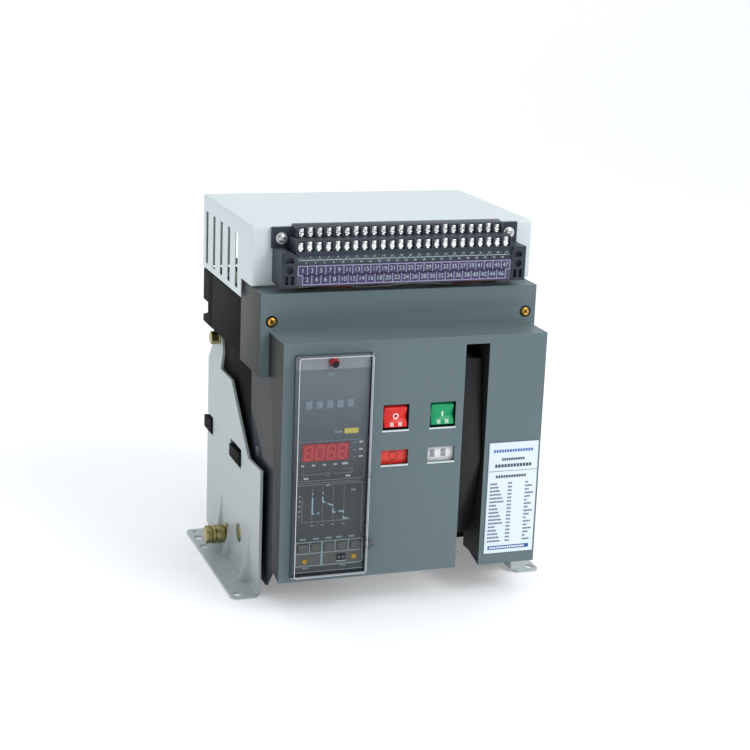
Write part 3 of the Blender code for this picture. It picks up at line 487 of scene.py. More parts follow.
def carved(name, solid, tools):
    """A solid bmesh less several tool bmeshes, as a mesh."""
    objects = []
    for number, source in enumerate([solid] + tools):
        bmesh.ops.recalc_face_normals(source, faces=source.faces)
        mesh = bpy.data.meshes.new(name + "_%d" % number)
        source.to_mesh(mesh)
        source.free()
        made = bpy.data.objects.new(mesh.name, mesh)
        bpy.context.scene.collection.objects.link(made)
        objects.append(made)
    for tool in objects[1:]:
        step = objects[0].modifiers.new(tool.name, "BOOLEAN")
        step.operation = "DIFFERENCE"
        step.solver = "EXACT"
        step.object = tool
    mesh = baked_mesh(objects[0])
    mesh.materials.clear()
    for made in objects:
        bpy.data.objects.remove(made, do_unlink=True)
    mesh.name = name
    return mesh


def soften(made, width, angle=35.0, steps=2):
    """Round the sharp edges of a piece or a CAD node with modifiers, which leave its own vertices alone."""
    weld = made.modifiers.new("weld", "WELD")
    weld.merge_threshold = 0.00001
    flat = made.modifiers.new("flat_faces", "DECIMATE")
    flat.decimate_type = "DISSOLVE"
    flat.angle_limit = math.radians(0.5)
    edges = made.modifiers.new("round_edges", "BEVEL")
    edges.width = width
    edges.segments = steps
    edges.limit_method = "ANGLE"
    edges.angle_limit = math.radians(angle)
    edges.harden_normals = True
    made.data.shade_smooth()


def finish_node(name, finish, edge=0.0, angle=35.0, steps=2):
    """Give a CAD node its finish and, where asked, rounded edges."""
    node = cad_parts[name]
    for holder in node.material_slots:
        holder.material = finish
    if edge:
        soften(node, edge, angle, steps)


def tube_mesh(name, points, radius, sides=3, smooth_path=True):
    """A round tube along a path, as a mesh."""
    curve = bpy.data.curves.new(name, "CURVE")
    curve.dimensions = "3D"
    curve.bevel_depth = radius
    curve.bevel_resolution = sides
    curve.use_fill_caps = True
    spline = curve.splines.new("NURBS" if smooth_path else "POLY")
    spline.points.add(len(points) - 1)
    for point, place in zip(spline.points, points):
        point.co = (*place, 1.0)
    if smooth_path:
        spline.order_u = 4
        spline.use_endpoint_u = True
        spline.resolution_u = 6
    made = bpy.data.objects.new(name, curve)
    bpy.context.scene.collection.objects.link(made)
    mesh = baked_mesh(made)
    mesh.materials.clear()
    bpy.data.objects.remove(made, do_unlink=True)
    return mesh


def number_mesh(name, entries, depth, lean=0.0):
    """Plain numbers (text, x, z, size) set flat on a front face, as one mesh."""
    bm = bmesh.new()
    for text, x, z, size in entries:
        curve = bpy.data.curves.new("number", "FONT")
        curve.body = text
        curve.size = size
        curve.align_x = "CENTER"
        curve.align_y = "CENTER"
        made = bpy.data.objects.new("number", curve)
        bpy.context.scene.collection.objects.link(made)
        mesh = baked_mesh(made)
        turn = Matrix.Rotation(math.radians(90) - lean, 4, "X")
        mesh.transform(Matrix.Translation(at(x, depth(z) if callable(depth) else depth, z)) @ turn)
        bm.from_mesh(mesh)
        bpy.data.objects.remove(made, do_unlink=True)
    mesh = bpy.data.meshes.new(name)
    bm.to_mesh(mesh)
    bm.free()
    return mesh


# ---------------------------------------------------------------- arc cover
def hood():
    """Folded sheet cover with rounded bends and pressed louvre slots."""
    (low_x, high_x), (front, back), (skirt, top) = side_box("arc_cover")
    step_back, step_z = 0.1252, 0.3389
    sheet = 0.0012
    bm = bmesh.new()
    side = [(front, step_z), (front, top), (back, top), (back, skirt), (step_back, skirt),
            (step_back, step_z)]
    walls = []
    for x in (low_x, high_x):
        walls.append([bm.verts.new(at(x, depth, z)) for depth, z in side])
        bm.faces.new(walls[-1])
    left, right = walls
    bm.faces.new((left[0], right[0], right[1], left[1]))
    bm.faces.new((left[1], right[1], right[2], left[2]))
    bm.faces.new((left[2], right[2], right[3], left[3]))
    bmesh.ops.recalc_face_normals(bm, faces=bm.faces)
    folds = [edge for edge in bm.edges if len(edge.link_faces) == 2]
    bmesh.ops.bevel(bm, geom=folds, offset=0.0026, segments=5, profile=0.5, affect="EDGES",
                    clamp_overlap=True)
    if sum(face.normal.z * face.calc_area() for face in bm.faces) < 0:
        bmesh.ops.reverse_faces(bm, faces=bm.faces)
    mesh = bpy.data.meshes.new("hood_sheet")
    bm.to_mesh(mesh)
    bm.free()
    flat = bpy.data.objects.new("hood_sheet", mesh)
    bpy.context.scene.collection.objects.link(flat)
    thick = flat.modifiers.new("sheet", "SOLIDIFY")
    thick.thickness = sheet
    thick.offset = -1.0
    thick.use_even_offset = True
    solid = bmesh.new()
    solid.from_mesh(baked_mesh(flat))
    bpy.data.objects.remove(flat, do_unlink=True)

    slots = bmesh.new()
    first, pitch, half = 0.1454, 0.0327, 0.0055
    for number in range(5):
        middle = first + number * pitch
        outline = rounded_rectangle((middle - half, middle + half), (0.3245, 0.3845), 0.0012, 4)
        for sign in (-1, 1):
            put_prism(slots, [at(sign * 0.150, depth, z) for depth, z in outline],
                      [at(sign * 0.170, depth, z) for depth, z in outline])
    vent = bmesh.new()
    put_outline(vent, rounded_rectangle((-0.1230, 0.1230), (0.3260, 0.3910), 0.0020, 4), back - 0.010,
                back + 0.010)
    holes = bmesh.new()
    for x, depth in ((-0.1326, 0.1214), (-0.1320, 0.2850), (0.1395, 0.1085), (0.1380, 0.2778)):
        put_turned(holes, ((0, 0), (0.0014, 0), (0.0014, 0.01), (0, 0.01)), at(x, depth, top - 0.005), "Z")
    mesh = carved("arc_cover_sheet", solid, [slots, vent, holes])
    made = piece("arc_cover_sheet", mesh, PALE, smooth=30, stands_for=("arc_cover",))
    edges = made.modifiers.new("round_edges", "BEVEL")
    edges.width = 0.0003
    edges.segments = 1
    edges.limit_method = "ANGLE"
    edges.angle_limit = math.radians(50)


def splitter_plates():
    """Steel plates in the gaps of each arc chute."""
    for number in (1, 2, 3):
        (low_x, high_x), _, _ = side_box("arc_chute_%d" % number)
        pole = (low_x + high_x) / 2
        bm = bmesh.new()
        for index in range(10):
            depth = 0.1405 + 0.0102 * (index + 0.5)
            put_box(bm, (pole - 0.0298, pole + 0.0298), (depth - 0.0008, depth + 0.0008), (0.2590, 0.3160),
                    0.0002, 1)
        piece("splitter_plates_%d" % number, bm, STEEL)


# ---------------------------------------------------------------- screws
def cross_head(radius, height, bite):
    """A pan head with a cross recess: axis on Z, seat at 0, crown at height."""
    head = bmesh.new()
    profile = [(0, 0), (radius, 0), (radius, height * 0.45), (radius * 0.92, height * 0.75),
               (radius * 0.70, height * 0.94), (radius * 0.35, height), (0, height)]
    put_turned(head, profile, Vector((0, 0, 0)), "Z", 1, 32)
    tools = []
    for long_x in (True, False):
        tool = bmesh.new()
        size = (radius * 1.25, radius * 0.34, bite * 2) if long_x else (radius * 0.34, radius * 1.25,
                                                                        bite * 2)
        place = Matrix.Translation(Vector((0, 0, height)))
        bmesh.ops.create_cube(tool, size=1.0, matrix=place @ Matrix.Diagonal((*size, 1.0)))
        tools.append(tool)
    return carved("cross_head", head, tools)


def front_facing(mesh, name, x, depth, z, spin, finish, body="root", stands_for=()):
    """Place a head whose axis is Z so that it faces forward, turned by spin degrees."""
    mesh = mesh.copy()
    turn = Matrix.Rotation(math.radians(90), 4, "X") @ Matrix.Rotation(math.radians(spin), 4, "Z")
    mesh.transform(Matrix.Translation(at(x, depth, z)) @ turn)
    return piece(name, mesh, finish, body, 35, stands_for)


def cross_shade(name, x, z, spin, half, depth):
    """Painted shade: a dark cross laid in the floor of a screw's cross recess, where it lies in shade."""
    bm = bmesh.new()
    for number, turn in enumerate((spin, spin + 90)):
        reach = Vector((math.cos(math.radians(turn)), math.sin(math.radians(turn)))) * half
        lift = depth - number * PRINT
        put_outline(bm, stroke((x - reach.x, z - reach.y), (x + reach.x, z + reach.y), 0.0014), lift,
                    lift + PRINT)
    piece(name, bm, BLACK_AND_SHADE)


def visible_screws():
    """Cover screws in their recesses, each over a dark ring of painted shade, and the two that hold the
    terminal block.
    """
    head = cross_head(0.0044, 0.0024, 0.0018)
    for side, spin in (("left", 20), ("right", 65)):
        node = "front_cover_screw_" + side
        (low_x, high_x), (_, back), (low_z, high_z) = side_box(node)
        x, z = (low_x + high_x) / 2, (low_z + high_z) / 2
        front_facing(head, "cover_screw_head_" + side, x, back, z, spin, BRASS, "root",
                     (node,))
        # Painted shade: a dark cross in the cross recess and a dark ring at the floor of the round recess.
        cross_shade("cover_screw_cross_shade_" + side, x, z, spin, 0.0027, back - 0.0012)
        bm = bmesh.new()
        put_ring(bm, (x, z), 0.0066, 0.0045, back - 0.0006, back, 32)
        piece("cover_screw_recess_shade_" + side, bm, BLACK_AND_SHADE)
    head = cross_head(0.0043, 0.0030, 0.0020)
    for side, spin in (("left", 35), ("right", 80)):
        node = "terminal_block_screw_" + side
        (low_x, high_x), (_, back), (low_z, high_z) = side_box(node)
        x, z = (low_x + high_x) / 2, (low_z + high_z) / 2
        seat = back - 0.0010
        front_facing(head, "block_screw_head_" + side, x, seat, z, spin, STEEL, "root",
                     (node,))
        bm = bmesh.new()
        put_turned(bm, ((0.0028, 0), (0.0061, 0), (0.0062, 0.0003), (0.0062, 0.0008), (0.0028, 0.0008)),
                   at(x, seat - 0.0002, z), "Y", 1, 32)
        piece("block_screw_washer_" + side, bm, STEEL, smooth=35)


# ---------------------------------------------------------------- terminal block
CELL_PITCH = 0.0100
ROWS = (("upper", 23, 0.0648, 0.3926), ("lower", 24, 0.0498, 0.3804))   # name, cells, front, floor
POCKET = 0.0037


def terminal_clamps():
    """Saddle clamp and screw in each cell, each sitting a little differently."""
    head = cross_head(0.0023, 0.0012, 0.0009)
    turn = Matrix.Rotation(math.radians(90), 4, "X")
    half = 0.0026
    for row, cells, front, floor in ROWS:
        wall = front + POCKET
        for index in range(cells):
            x = (index - (cells - 1) / 2) * CELL_PITCH + 0.0003 * math.sin(5.1 * index)
            tall = 0.0092 + 0.0007 * math.sin(3.7 * index + len(row))
            bm = bmesh.new()
            put_box(bm, (x - half, x + half), (wall - 0.0010, wall - 0.0001), (floor + 0.0006, floor + tall),
                    0.0004, 2)
            put_box(bm, (x - half, x + half * 0.2), (wall - 0.0034, wall - 0.0006),
                    (floor + 0.0003, floor + 0.0014),
                    0.0003, 2)
            put_box(bm, (x - half * 0.4, x + half), (wall - 0.0020, wall - 0.0006),
                    (floor + 0.0020, floor + 0.0031),
                    0.0003, 2)
            screw = head.copy()
            spin = Matrix.Rotation(math.radians(37 * index % 90), 4, "Z")
            screw.transform(Matrix.Translation(at(x, wall - 0.0009, floor + 0.0064)) @ turn @ spin)
            bm.from_mesh(screw)
            piece("%s_clamp_%02d" % (row, index + 1), bm, NICKEL, smooth=35)


def block_markings():
    """The printed marking plate, with plain cell numbers, and the small scale above it."""
    face = 0.0478
    x = (-0.1186, 0.1186)
    z = (0.3462, 0.3658)
    middle = (z[0] + z[1]) / 2
    bm = bmesh.new()
    put_box(bm, (-0.1200, 0.1200), (face - 0.0004, face - 0.0001), (0.3449, 0.3664), 0.0001, 1)
    piece("marking_plate", bm, STRIP)
    front, back = face - 0.0004 - SKIN, face - 0.0004
    pitch = (x[1] - x[0]) / 24
    line = 0.0009
    cells = bmesh.new()
    lines = bmesh.new()
    for low, high, first, last in ((middle, z[1], x[0], x[1]), (z[0], middle, x[0] + pitch / 2,
                                                                x[1] - pitch / 2)):
        put_outline(cells, bar((first, last), (low, high)), front + SKIN / 2, back)
        put_outline(lines, bar((first, last), (high - line / 2, high + line / 2)), front, back)
        put_outline(lines, bar((first, last), (low - line / 2, low + line / 2)), front, back)
        for index in range(round((last - first) / pitch) + 1):
            edge = first + index * pitch
            put_outline(lines, bar((edge - line / 2, edge + line / 2), (low, high)), front - PRINT, back)
    piece("marking_cells", cells, CELL)
    piece("marking_lines", lines, LILAC_INK)
    entries = []
    for index in range(24):
        entries.append((str(2 * index + 1), x[0] + pitch * (index + 0.5), middle + 0.0049, 0.0066))
    for index in range(23):
        entries.append((str(2 * index + 2), x[0] + pitch * (index + 1.0), middle - 0.0049, 0.0066))
    piece("marking_numbers", number_mesh("marking_numbers", entries, front - PRINT), PALE_INK)

    lean = math.atan2(0.0022, 0.0096)

    def slope(height):
        return 0.0478 + (height - 0.3670) * math.tan(lean) - SKIN - PRINT

    small = []
    for index in range(24):
        cell_x = (index - 11.5) * CELL_PITCH
        small.append((str(2 * index + 1), cell_x - 0.0002, 0.3741, 0.0033))
        if index < 23:
            small.append((str(2 * index + 2), cell_x + 0.0048, 0.3691, 0.0033))
    piece("scale_numbers", number_mesh("scale_numbers", small, slope, lean), PALE_INK)
    bm = bmesh.new()
    rule = (0.3714, 0.3719)
    put_outline(bm, bar((-0.1170, 0.1170), rule), slope(rule[0]), slope(rule[0]) + 0.0003)
    for index in range(48):
        tick = -0.1175 + 0.0050 * index
        put_outline(bm, bar((tick - 0.0002, tick + 0.0002), (0.3705, 0.3729)), slope(0.3716),
                    slope(0.3716) + 0.0003)
    piece("scale_rule", bm, PALE_INK)


def wires():
    """Secondary wires in the gap under the block."""
    (low_x, high_x), (front, back), (low_z, high_z) = side_box("wiring_loom")
    middle = (front + back) / 2
    plans = (("white", 0.0009, -0.0030, 0.0), ("yellow", 0.0010, 0.0022, 0.9), ("green", 0.0009, 0.0046, 2.1),
             ("red", 0.0010, -0.0006, 3.3), ("white", 0.0008, 0.0060, 4.0), ("black", 0.0012, 0.0012, 5.1))
    for number, (colour, radius, offset, phase) in enumerate(plans, 1):
        points = []
        for step in range(25):
            along = step / 24
            x = low_x + 0.002 + (high_x - low_x - 0.004) * along
            depth = middle + offset + 0.0018 * math.sin(9 * along + phase)
            z = (low_z + high_z) / 2 - 0.0006 + 0.0014 * math.sin(14 * along + 2 * phase)
            points.append(at(x, depth, z))
        made = piece("secondary_wire_%d" % number, tube_mesh("wire", points, radius), WIRES[colour],
                     smooth=60)
        if number == 1:
            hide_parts("wiring_loom")


# ---------------------------------------------------------------- controller
FACE_FRONT = side_box("controller_faceplate")[1][0]


def printed(name, outlines, finish, front=FACE_FRONT, body="root"):
    """Flat printing: outlines in (x, z) standing just off a face at depth front."""
    bm = bmesh.new()
    for outline in outlines:
        put_outline(bm, outline, front - SKIN - PRINT, front - SKIN)
    return piece(name, bm, finish, body)


def stroke(start, end, width):
    """Outline of a straight line of some width between two (x, z) points."""
    way = Vector((end[0] - start[0], end[1] - start[1])).normalized()
    side = Vector((-way.y, way.x)) * width / 2
    return [(start[0] - side.x, start[1] - side.y), (end[0] - side.x, end[1] - side.y),
            (end[0] + side.x, end[1] + side.y), (start[0] + side.x, start[1] + side.y)]


def frame_strokes(x, z, width):
    corners = [(x[0], z[0]), (x[1], z[0]), (x[1], z[1]), (x[0], z[1])]
    return [stroke(corners[index], corners[(index + 1) % 4], width) for index in range(4)]


def digit_segments(left, low, width, height, lit_ones, slant=0.10, bar_width=0.0014):
    """Seven-segment digit as outlines, leaning to the right."""
    half = height / 2
    gap = 0.0003
    lines = {"a": ((gap, height), (width - gap, height)), "b": ((width, height - gap), (width, half + gap)),
             "c": ((width, half - gap), (width, gap)), "d": ((gap, 0), (width - gap, 0)),
             "e": ((0, half - gap), (0, gap)), "f": ((0, height - gap), (0, half + gap)),
             "g": ((gap, half), (width - gap, half))}
    made = []
    for key in lit_ones:
        start, end = lines[key]
        made.append([(left + x + slant * z, low + z) for x, z in stroke(start, end, bar_width)])
    return made


def marks(x, z, count, width, gap, height):
    """A row of short bars that stands for small print."""
    return [bar((x + index * (width + gap), x + index * (width + gap) + width), (z, z + height))
            for index in range(count)]


def hatch_sign(x, z, width, height, rows=1):
    """Four equal upright bars that stand for a printed sign, cut into rows so that they can bend."""
    pitch = width / 4
    rise = height / rows
    return [bar((x + pitch * index, x + pitch * (index + 0.55)), (z + rise * row, z + rise * (row + 1)))
            for index in range(4) for row in range(rows)]


def right_rounded(x, z, radius, width):
    """Strokes of a frame whose two right corners are round."""
    path = [(x[0], z[0]), (x[1] - radius, z[0])]
    for step in range(1, 6):
        turn = math.radians(18 * step)
        path.append((x[1] - radius + radius * math.sin(turn), z[0] + radius - radius * math.cos(turn)))
    path.append((x[1], z[1] - radius))
    for step in range(1, 6):
        turn = math.radians(18 * step)
        path.append((x[1] - radius + radius * math.cos(turn), z[1] - radius + radius * math.sin(turn)))
    path += [(x[0], z[1]), (x[0], z[0])]
    return [stroke(start, end, width) for start, end in zip(path, path[1:])]


def controller_front():
    """Printed face, display, trip curve, keys and screws under the clear door."""
    controller_head()
    controller_display()
    trip_chart()
    key_field()


def controller_head():
    """Pale band with the reset button, a row of signs and the yellow tag."""
    (low_x, high_x), _, (_, high_z) = side_box("controller_faceplate")
    reset_x, reset_z = -0.0920, 0.2750
    hole = 0.0052
    band_z = 0.2673
    band = [bar((low_x, high_x), (band_z, reset_z - hole)), bar((low_x, high_x), (reset_z + hole, high_z)),
            bar((low_x, reset_x - hole), (reset_z - hole, reset_z + hole)),
            bar((reset_x + hole, high_x), (reset_z - hole, reset_z + hole))]
    printed("controller_top_band", band, BAND)
    signs = []
    for index in range(5):
        signs += hatch_sign(-0.1195 + index * 0.0112, 0.2258, 0.0066, 0.0082)
    printed("controller_signs", signs, PALE_INK)
    printed("controller_small_marks", marks(-0.0970, 0.2606, 3, 0.0013, 0.0009, 0.0028)
            + marks(-0.0880, 0.1985, 4, 0.0013, 0.0009, 0.0022), PALE_INK)
    printed("controller_tag", [rounded_rectangle((-0.0777, -0.0622), (0.1973, 0.2028), 0.0006)], YELLOW)
    front = side_box("controller_reset_button")[1][0]
    bm = bmesh.new()
    put_turned(bm, ((0, 0), (0.0031, 0), (0.0037, 0.0003), (0.0037, 0.0007), (0, 0.0007)),
               at(reset_x + 0.0003, front - 0.0001, reset_z - 0.0012), "Y", -1, 24)
    piece("reset_button_centre", bm, BLACK_AND_SHADE, "controller_reset_button", 40)


def controller_display():
    """Red display with four digits, its frame, lamp labels and connecting lines."""
    line = 0.0006
    printed("display_frame", right_rounded((-0.1275, -0.0550), (0.1478, 0.1903), 0.0035, line), GREY_INK)
    bm = bmesh.new()
    put_box(bm, (-0.1232, -0.0722), (FACE_FRONT - 0.0008, FACE_FRONT - SKIN), (0.1690, 0.1878), 0.0003, 2)
    piece("display_window", bm, DISPLAY)
    digits = []
    for index, lit_ones in enumerate(("abcdefg", "abcdef", "abcdefg", "abcdefg")):
        left = -0.1206 + index * 0.0122
        digits += digit_segments(left, 0.1714, 0.0076, 0.0140, lit_ones, bar_width=0.0021)
    printed("display_digits", digits, DIGITS, FACE_FRONT - 0.0008)
    dots = [ring_points((-0.0655, z), 0.0010, 12) for z in (0.1870, 0.1790, 0.1712)]
    printed("indicator_dots", dots, GREY_INK)
    small = []
    for z in (0.1862, 0.1782, 0.1704):
        small += marks(-0.0608, z, 2, 0.0014, 0.0008, 0.0022)
    for index in range(4):
        small += marks(-0.1236 + 0.0118 * index, 0.1636, 2, 0.0011, 0.0008, 0.0020)
    small += marks(-0.0790, 0.1636, 3, 0.0015, 0.0007, 0.0024)
    small += marks(-0.1205, 0.1496, 2, 0.0019, 0.0008, 0.0021) + marks(-0.0745, 0.1500, 2, 0.0019, 0.0008,
                                                                       0.0021)
    printed("display_labels", small, WHITE_INK)
    wiring = [stroke((-0.0790, 0.1590), (-0.0680, 0.1590), line), stroke((-0.0680, 0.1590),
                                                                         (-0.0680, 0.1535), line),
              stroke((-0.1215, 0.1600), (-0.1215, 0.1545), line), stroke((-0.1215, 0.1545),
                                                                         (-0.1000, 0.1545), line),
              stroke((-0.0890, 0.1545), (-0.0680, 0.1545), line)]
    wiring += frame_strokes((-0.0965, -0.0925), (0.1530, 0.1556), line)
    printed("display_lines", wiring, GREY_INK)


def trip_chart():
    """Chart of the trip curve under a double line."""
    line = 0.0006
    frame_lines = [stroke((-0.1275, height), (end, height), line)
                   for height, end in ((0.1452, -0.0600), (0.1430, -0.0560))]
    frame_lines += [stroke((-0.0560, 0.1430), (-0.0555, 0.0865), line)]
    printed("chart_frame", frame_lines, GREY_INK)
    axes = [stroke((-0.1216, 0.1025), (-0.0660, 0.1025), line), stroke((-0.1216, 0.1025), (-0.1216, 0.1300),
                                                                       line)]
    for x in (-0.1105, -0.0992, -0.0878, -0.0758):
        axes.append(stroke((x, 0.1010), (x, 0.1412), 0.0004))
    printed("chart_axes", axes, GREY_INK)
    bold = 0.0013
    lift = FACE_FRONT - SKIN
    strokes = [((-0.1103, 0.1292), (-0.1103, 0.1118)), ((-0.1109, 0.1114), (-0.1080, 0.1114)),
               ((-0.1050, 0.1115), (-0.1025, 0.1120)), ((-0.0992, 0.1296), (-0.0992, 0.1245)),
               ((-0.0994, 0.1247), (-0.0960, 0.1230)), ((-0.0938, 0.1218), (-0.0871, 0.1190)),
               ((-0.0876, 0.1160), (-0.0876, 0.1113)), ((-0.0882, 0.1114), (-0.0847, 0.1119)),
               ((-0.0816, 0.1122), (-0.0754, 0.1124)), ((-0.0758, 0.1126), (-0.0758, 0.1100)),
               ((-0.0758, 0.1066), (-0.0758, 0.1034)), ((-0.0764, 0.1038), (-0.0703, 0.1042))]
    strokes += [((x, z), (x, z + 0.0014)) for x, z in ((-0.1103, 0.1325), (-0.0992, 0.1332))]
    printed("trip_curve", [stroke(start, end, bold) for start, end in strokes], CURVE_INK, lift)
    small = marks(-0.0958, 0.1411, 2, 0.0018, 0.0008, 0.0020) + marks(-0.0680, 0.1340, 2, 0.0018, 0.0008,
                                                                      0.0020)
    for x in (-0.1228, -0.1085, -0.0945, -0.0830, -0.0690):
        small += marks(x, 0.0825, 3, 0.0015, 0.0008, 0.0021)
    for index in range(5):
        small += marks(-0.1252, 0.1085 + 0.0056 * index, 1, 0.0018, 0.0008, 0.0015)
    for x in (-0.1118, -0.1003, -0.0890, -0.0772):
        small += marks(x, 0.0976, 2, 0.0012, 0.0008, 0.0014)
    printed("chart_labels", small, PALE_INK)


def key_field():
    """Lighter field with ruled keys, the selector window and two brass screws."""
    field_x, field_z = (-0.1275, -0.0536), (0.0535, 0.0802)
    level = 0.0676
    thick = 0.0009
    solid = bar((field_x[0], field_x[1] - 0.003), field_z)
    printed("key_field", [solid, bar((field_x[1] - 0.003, field_x[1]), (field_z[0] + 0.003,
                                                                        field_z[1] - 0.003))], KEY)
    front = FACE_FRONT - SKIN - PRINT
    lines = right_rounded(field_x, field_z, 0.0030, thick)
    lines += [stroke((field_x[0], level), (field_x[1] - 0.0028, level), thick),
              stroke((-0.0985, field_z[0]), (-0.0985, field_z[1]), 0.0021)]
    for x in (-0.1120, -0.0838, -0.0692):
        lines.append(stroke((x, level), (x, field_z[1]), thick))
    printed("key_lines", lines, PALE_INK, front)
    small = marks(-0.1190, 0.0504, 3, 0.0013, 0.0008, 0.0016) + marks(-0.0775, 0.0508, 3, 0.0013, 0.0008,
                                                                      0.0016)
    printed("key_small_marks", small, PALE_INK)
    printed("face_foot_shadow", [bar((-0.1300, -0.0520), (0.0440, 0.0462))], SHADE)
    printed("face_foot_line", [bar((-0.1300, -0.0520), (0.0464, 0.0471))], PALE_INK)

    head = cross_head(0.0028, 0.0012, 0.0009)
    for name, x, z, spin in (("left", -0.1172, 0.0590, 15), ("right", -0.0628, 0.0606, 50)):
        front_facing(head, "controller_screw_" + name, x, front - PRINT, z, spin, BRASS, "root")
    window = FACE_FRONT - 0.0012
    bm = bmesh.new()
    put_box(bm, (-0.0819, -0.0725), (window, FACE_FRONT - SKIN), (0.0574, 0.0648), 0.0003, 2)
    piece("selector_window", bm, BLACK_AND_SHADE)
    printed("selector_underline", [bar((-0.0822, -0.0715), (0.0562, 0.0571))], WHITE_INK, front)
    bm = bmesh.new()
    for index in range(2):
        put_ring(bm, (-0.0796 + 0.0046 * index, 0.0612), 0.0013, 0.0008, window - SKIN - PRINT,
                 window - SKIN, 14)
    piece("selector_marks", bm, PALE_INK)


def clear_door():
    """Clear tray with rounded corners, a stepped rim and a small latch knuckle."""
    rear, front = DOOR_REAR, DOOR_FRONT
    _, (door_front, door_back), _ = side_box("controller_door")
    thick = 0.0015

    def tray(near, far, start, end, radius):
        bm = bmesh.new()
        loops = []
        levels = 5
        for level in range(levels):
            part = level / levels
            mix = [a + (b - a) * part for a, b in zip(far, near)]
            outline = rounded_rectangle(mix[:2], mix[2:], radius, 5)
            depth = end + (start - end) * part
            loops.append([bm.verts.new(at(x, depth, z)) for x, z in outline])
        edge = 0.0008
        outline = rounded_rectangle((near[0] + edge, near[1] - edge), (near[2] + edge, near[3] - edge),
                                    max(radius - edge, 0.0004), 5)
        loops.append([bm.verts.new(at(x, start + edge, z)) for x, z in
                      rounded_rectangle(near[:2], near[2:], radius, 5)])
        loops.append([bm.verts.new(at(x, start, z)) for x, z in outline])
        for near_loop, far_loop in zip(loops, loops[1:]):
            count = len(near_loop)
            for index in range(count):
                after = (index + 1) % count
                bm.faces.new((near_loop[index], near_loop[after], far_loop[after], far_loop[index]))
        bm.faces.new(loops[-1])
        bm.faces.new(list(reversed(loops[0])))
        return bm

    inner_rear = (rear[0] + thick, rear[1] - thick, rear[2] + thick, rear[3] - thick)
    inner_front = (front[0] + thick, front[1] - thick, front[2] + thick, front[3] - thick)
    outer = tray(front, rear, door_front, door_back, 0.0032)
    inner = tray(inner_front, inner_rear, door_front + thick, door_back + 0.0040, 0.0010)
    mesh = carved("clear_door", outer, [inner])
    piece("clear_door", mesh, CLEAR, "controller_door", 30, ("controller_door",))
    bm = bmesh.new()
    put_box(bm, (-0.0534, -0.0500), (-0.0100, -0.0030), (0.1500, 0.1560), 0.0008, 3)
    put_box(bm, (-0.0530, -0.0500), (-0.0100, -0.0030), (0.0705, 0.0745), 0.0008, 3)
    put_box(bm, (-0.0530, -0.0500), (-0.0100, -0.0030), (0.0795, 0.0835), 0.0008, 3)
    piece("door_latch", bm, CLEAR, "controller_door", 40)


def door_rim_highlights():
    """Painted highlights: pale beads along the front edge of the door, along its foot and along its right
    edge, for the light its rounded edges catch.
    """
    _, (door_front, _), _ = side_box("controller_door")
    radius = 0.0004
    near = door_front + radius + 0.0001
    inset = radius + 0.0001
    left, right, low, high = DOOR_FRONT
    x = (left + inset, right - inset)
    z = (low + inset, high - inset)
    outline = rounded_rectangle(x, z, 0.0027, 4)
    points = [at(px, near, pz) for px, pz in outline] + [at(outline[0][0], near, outline[0][1])]
    piece("door_front_highlight", tube_mesh("rim_highlight_tube", points, radius, 2, False), RIM_HIGHLIGHT, "controller_door",
          60)
    foot = [at(-0.1335, -0.0010, 0.0426), at(-0.0512, -0.0010, 0.0426)]
    piece("door_foot_highlight", tube_mesh("rim_highlight_tube", foot, 0.0007, 2, False), RIM_HIGHLIGHT, "controller_door",
          60)
    edge = [at(-0.0506, -0.0012, 0.0430), at(-0.0506, -0.0012, 0.2825)]
    piece("door_right_highlight", tube_mesh("rim_highlight_tube", edge, 0.0006, 2, False), RIM_HIGHLIGHT, "controller_door",
          60)


def seal_wire():
    """Loop of sealing wire through the lug of the door."""
    points = []
    turns = 36
    for step in range(turns + 1):
        angle = 4 * math.pi * step / turns
        wide = 0.0046 + 0.0004 * math.sin(angle / 2)
        points.append(at(-0.0474 + 0.0018 * math.sin(angle), -0.0090 + 0.0016 * math.cos(angle / 2),
                         0.0766 + wide * math.cos(angle)))
    piece("seal_wire", tube_mesh("seal_wire", points, 0.0006), SEAL, "controller_door", 60)


# ---------------------------------------------------------------- buttons and flags
def button_marks():
    """Plain on and off marks, moulded in white, that follow the ridges of each button's face."""
    profile = ((-0.0103, 0.0005), (-0.0084, 0.0006), (-0.0059, 0.0013), (-0.0037, 0.0026), (-0.0014, 0.0041),
               (0.0017, 0.0037), (0.0056, 0.0026), (0.0091, 0.0016), (0.0103, 0.0025))

    def face_depth(height):
        for (low, low_depth), (high, high_depth) in zip(profile, profile[1:]):
            if low <= height <= high:
                return low_depth + (high_depth - low_depth) * (height - low) / (high - low)
        return profile[0][1]

    def lay(bm, outlines):
        for outline in outlines:
            bm.faces.new([bm.verts.new(at(x, face_depth(z - BUTTON_Z) - 0.00025, z)) for x, z in outline])

    def strips(x, z, rows=6):
        """An upright mark cut into low strips, so that it can bend with the face."""
        step = (z[1] - z[0]) / rows
        return [bar(x, (z[0] + step * index, z[0] + step * (index + 1))) for index in range(rows)]

    bm = bmesh.new()
    centre = (OFF_X + 0.0008, BUTTON_Z + 0.0004)
    outer, inner = ring_points(centre, 0.0032, 32), ring_points(centre, 0.0021, 32)
    lay(bm, [[outer[i], outer[(i + 1) % 32], inner[(i + 1) % 32], inner[i]] for i in range(32)])
    for left in (OFF_X - 0.0062, OFF_X + 0.0030):
        lay(bm, hatch_sign(left, BUTTON_Z - 0.0098, 0.0042, 0.0042, 6))
    piece("off_button_mark", bm, WHITE_INK, "off_button")
    bm = bmesh.new()
    lay(bm, strips((ON_X - 0.0001, ON_X + 0.0016), (BUTTON_Z - 0.0024, BUTTON_Z + 0.0028)))
    for left in (ON_X - 0.0062, ON_X + 0.0030):
        lay(bm, hatch_sign(left, BUTTON_Z - 0.0098, 0.0042, 0.0042, 6))
    piece("on_button_mark", bm, WHITE_INK, "on_button")


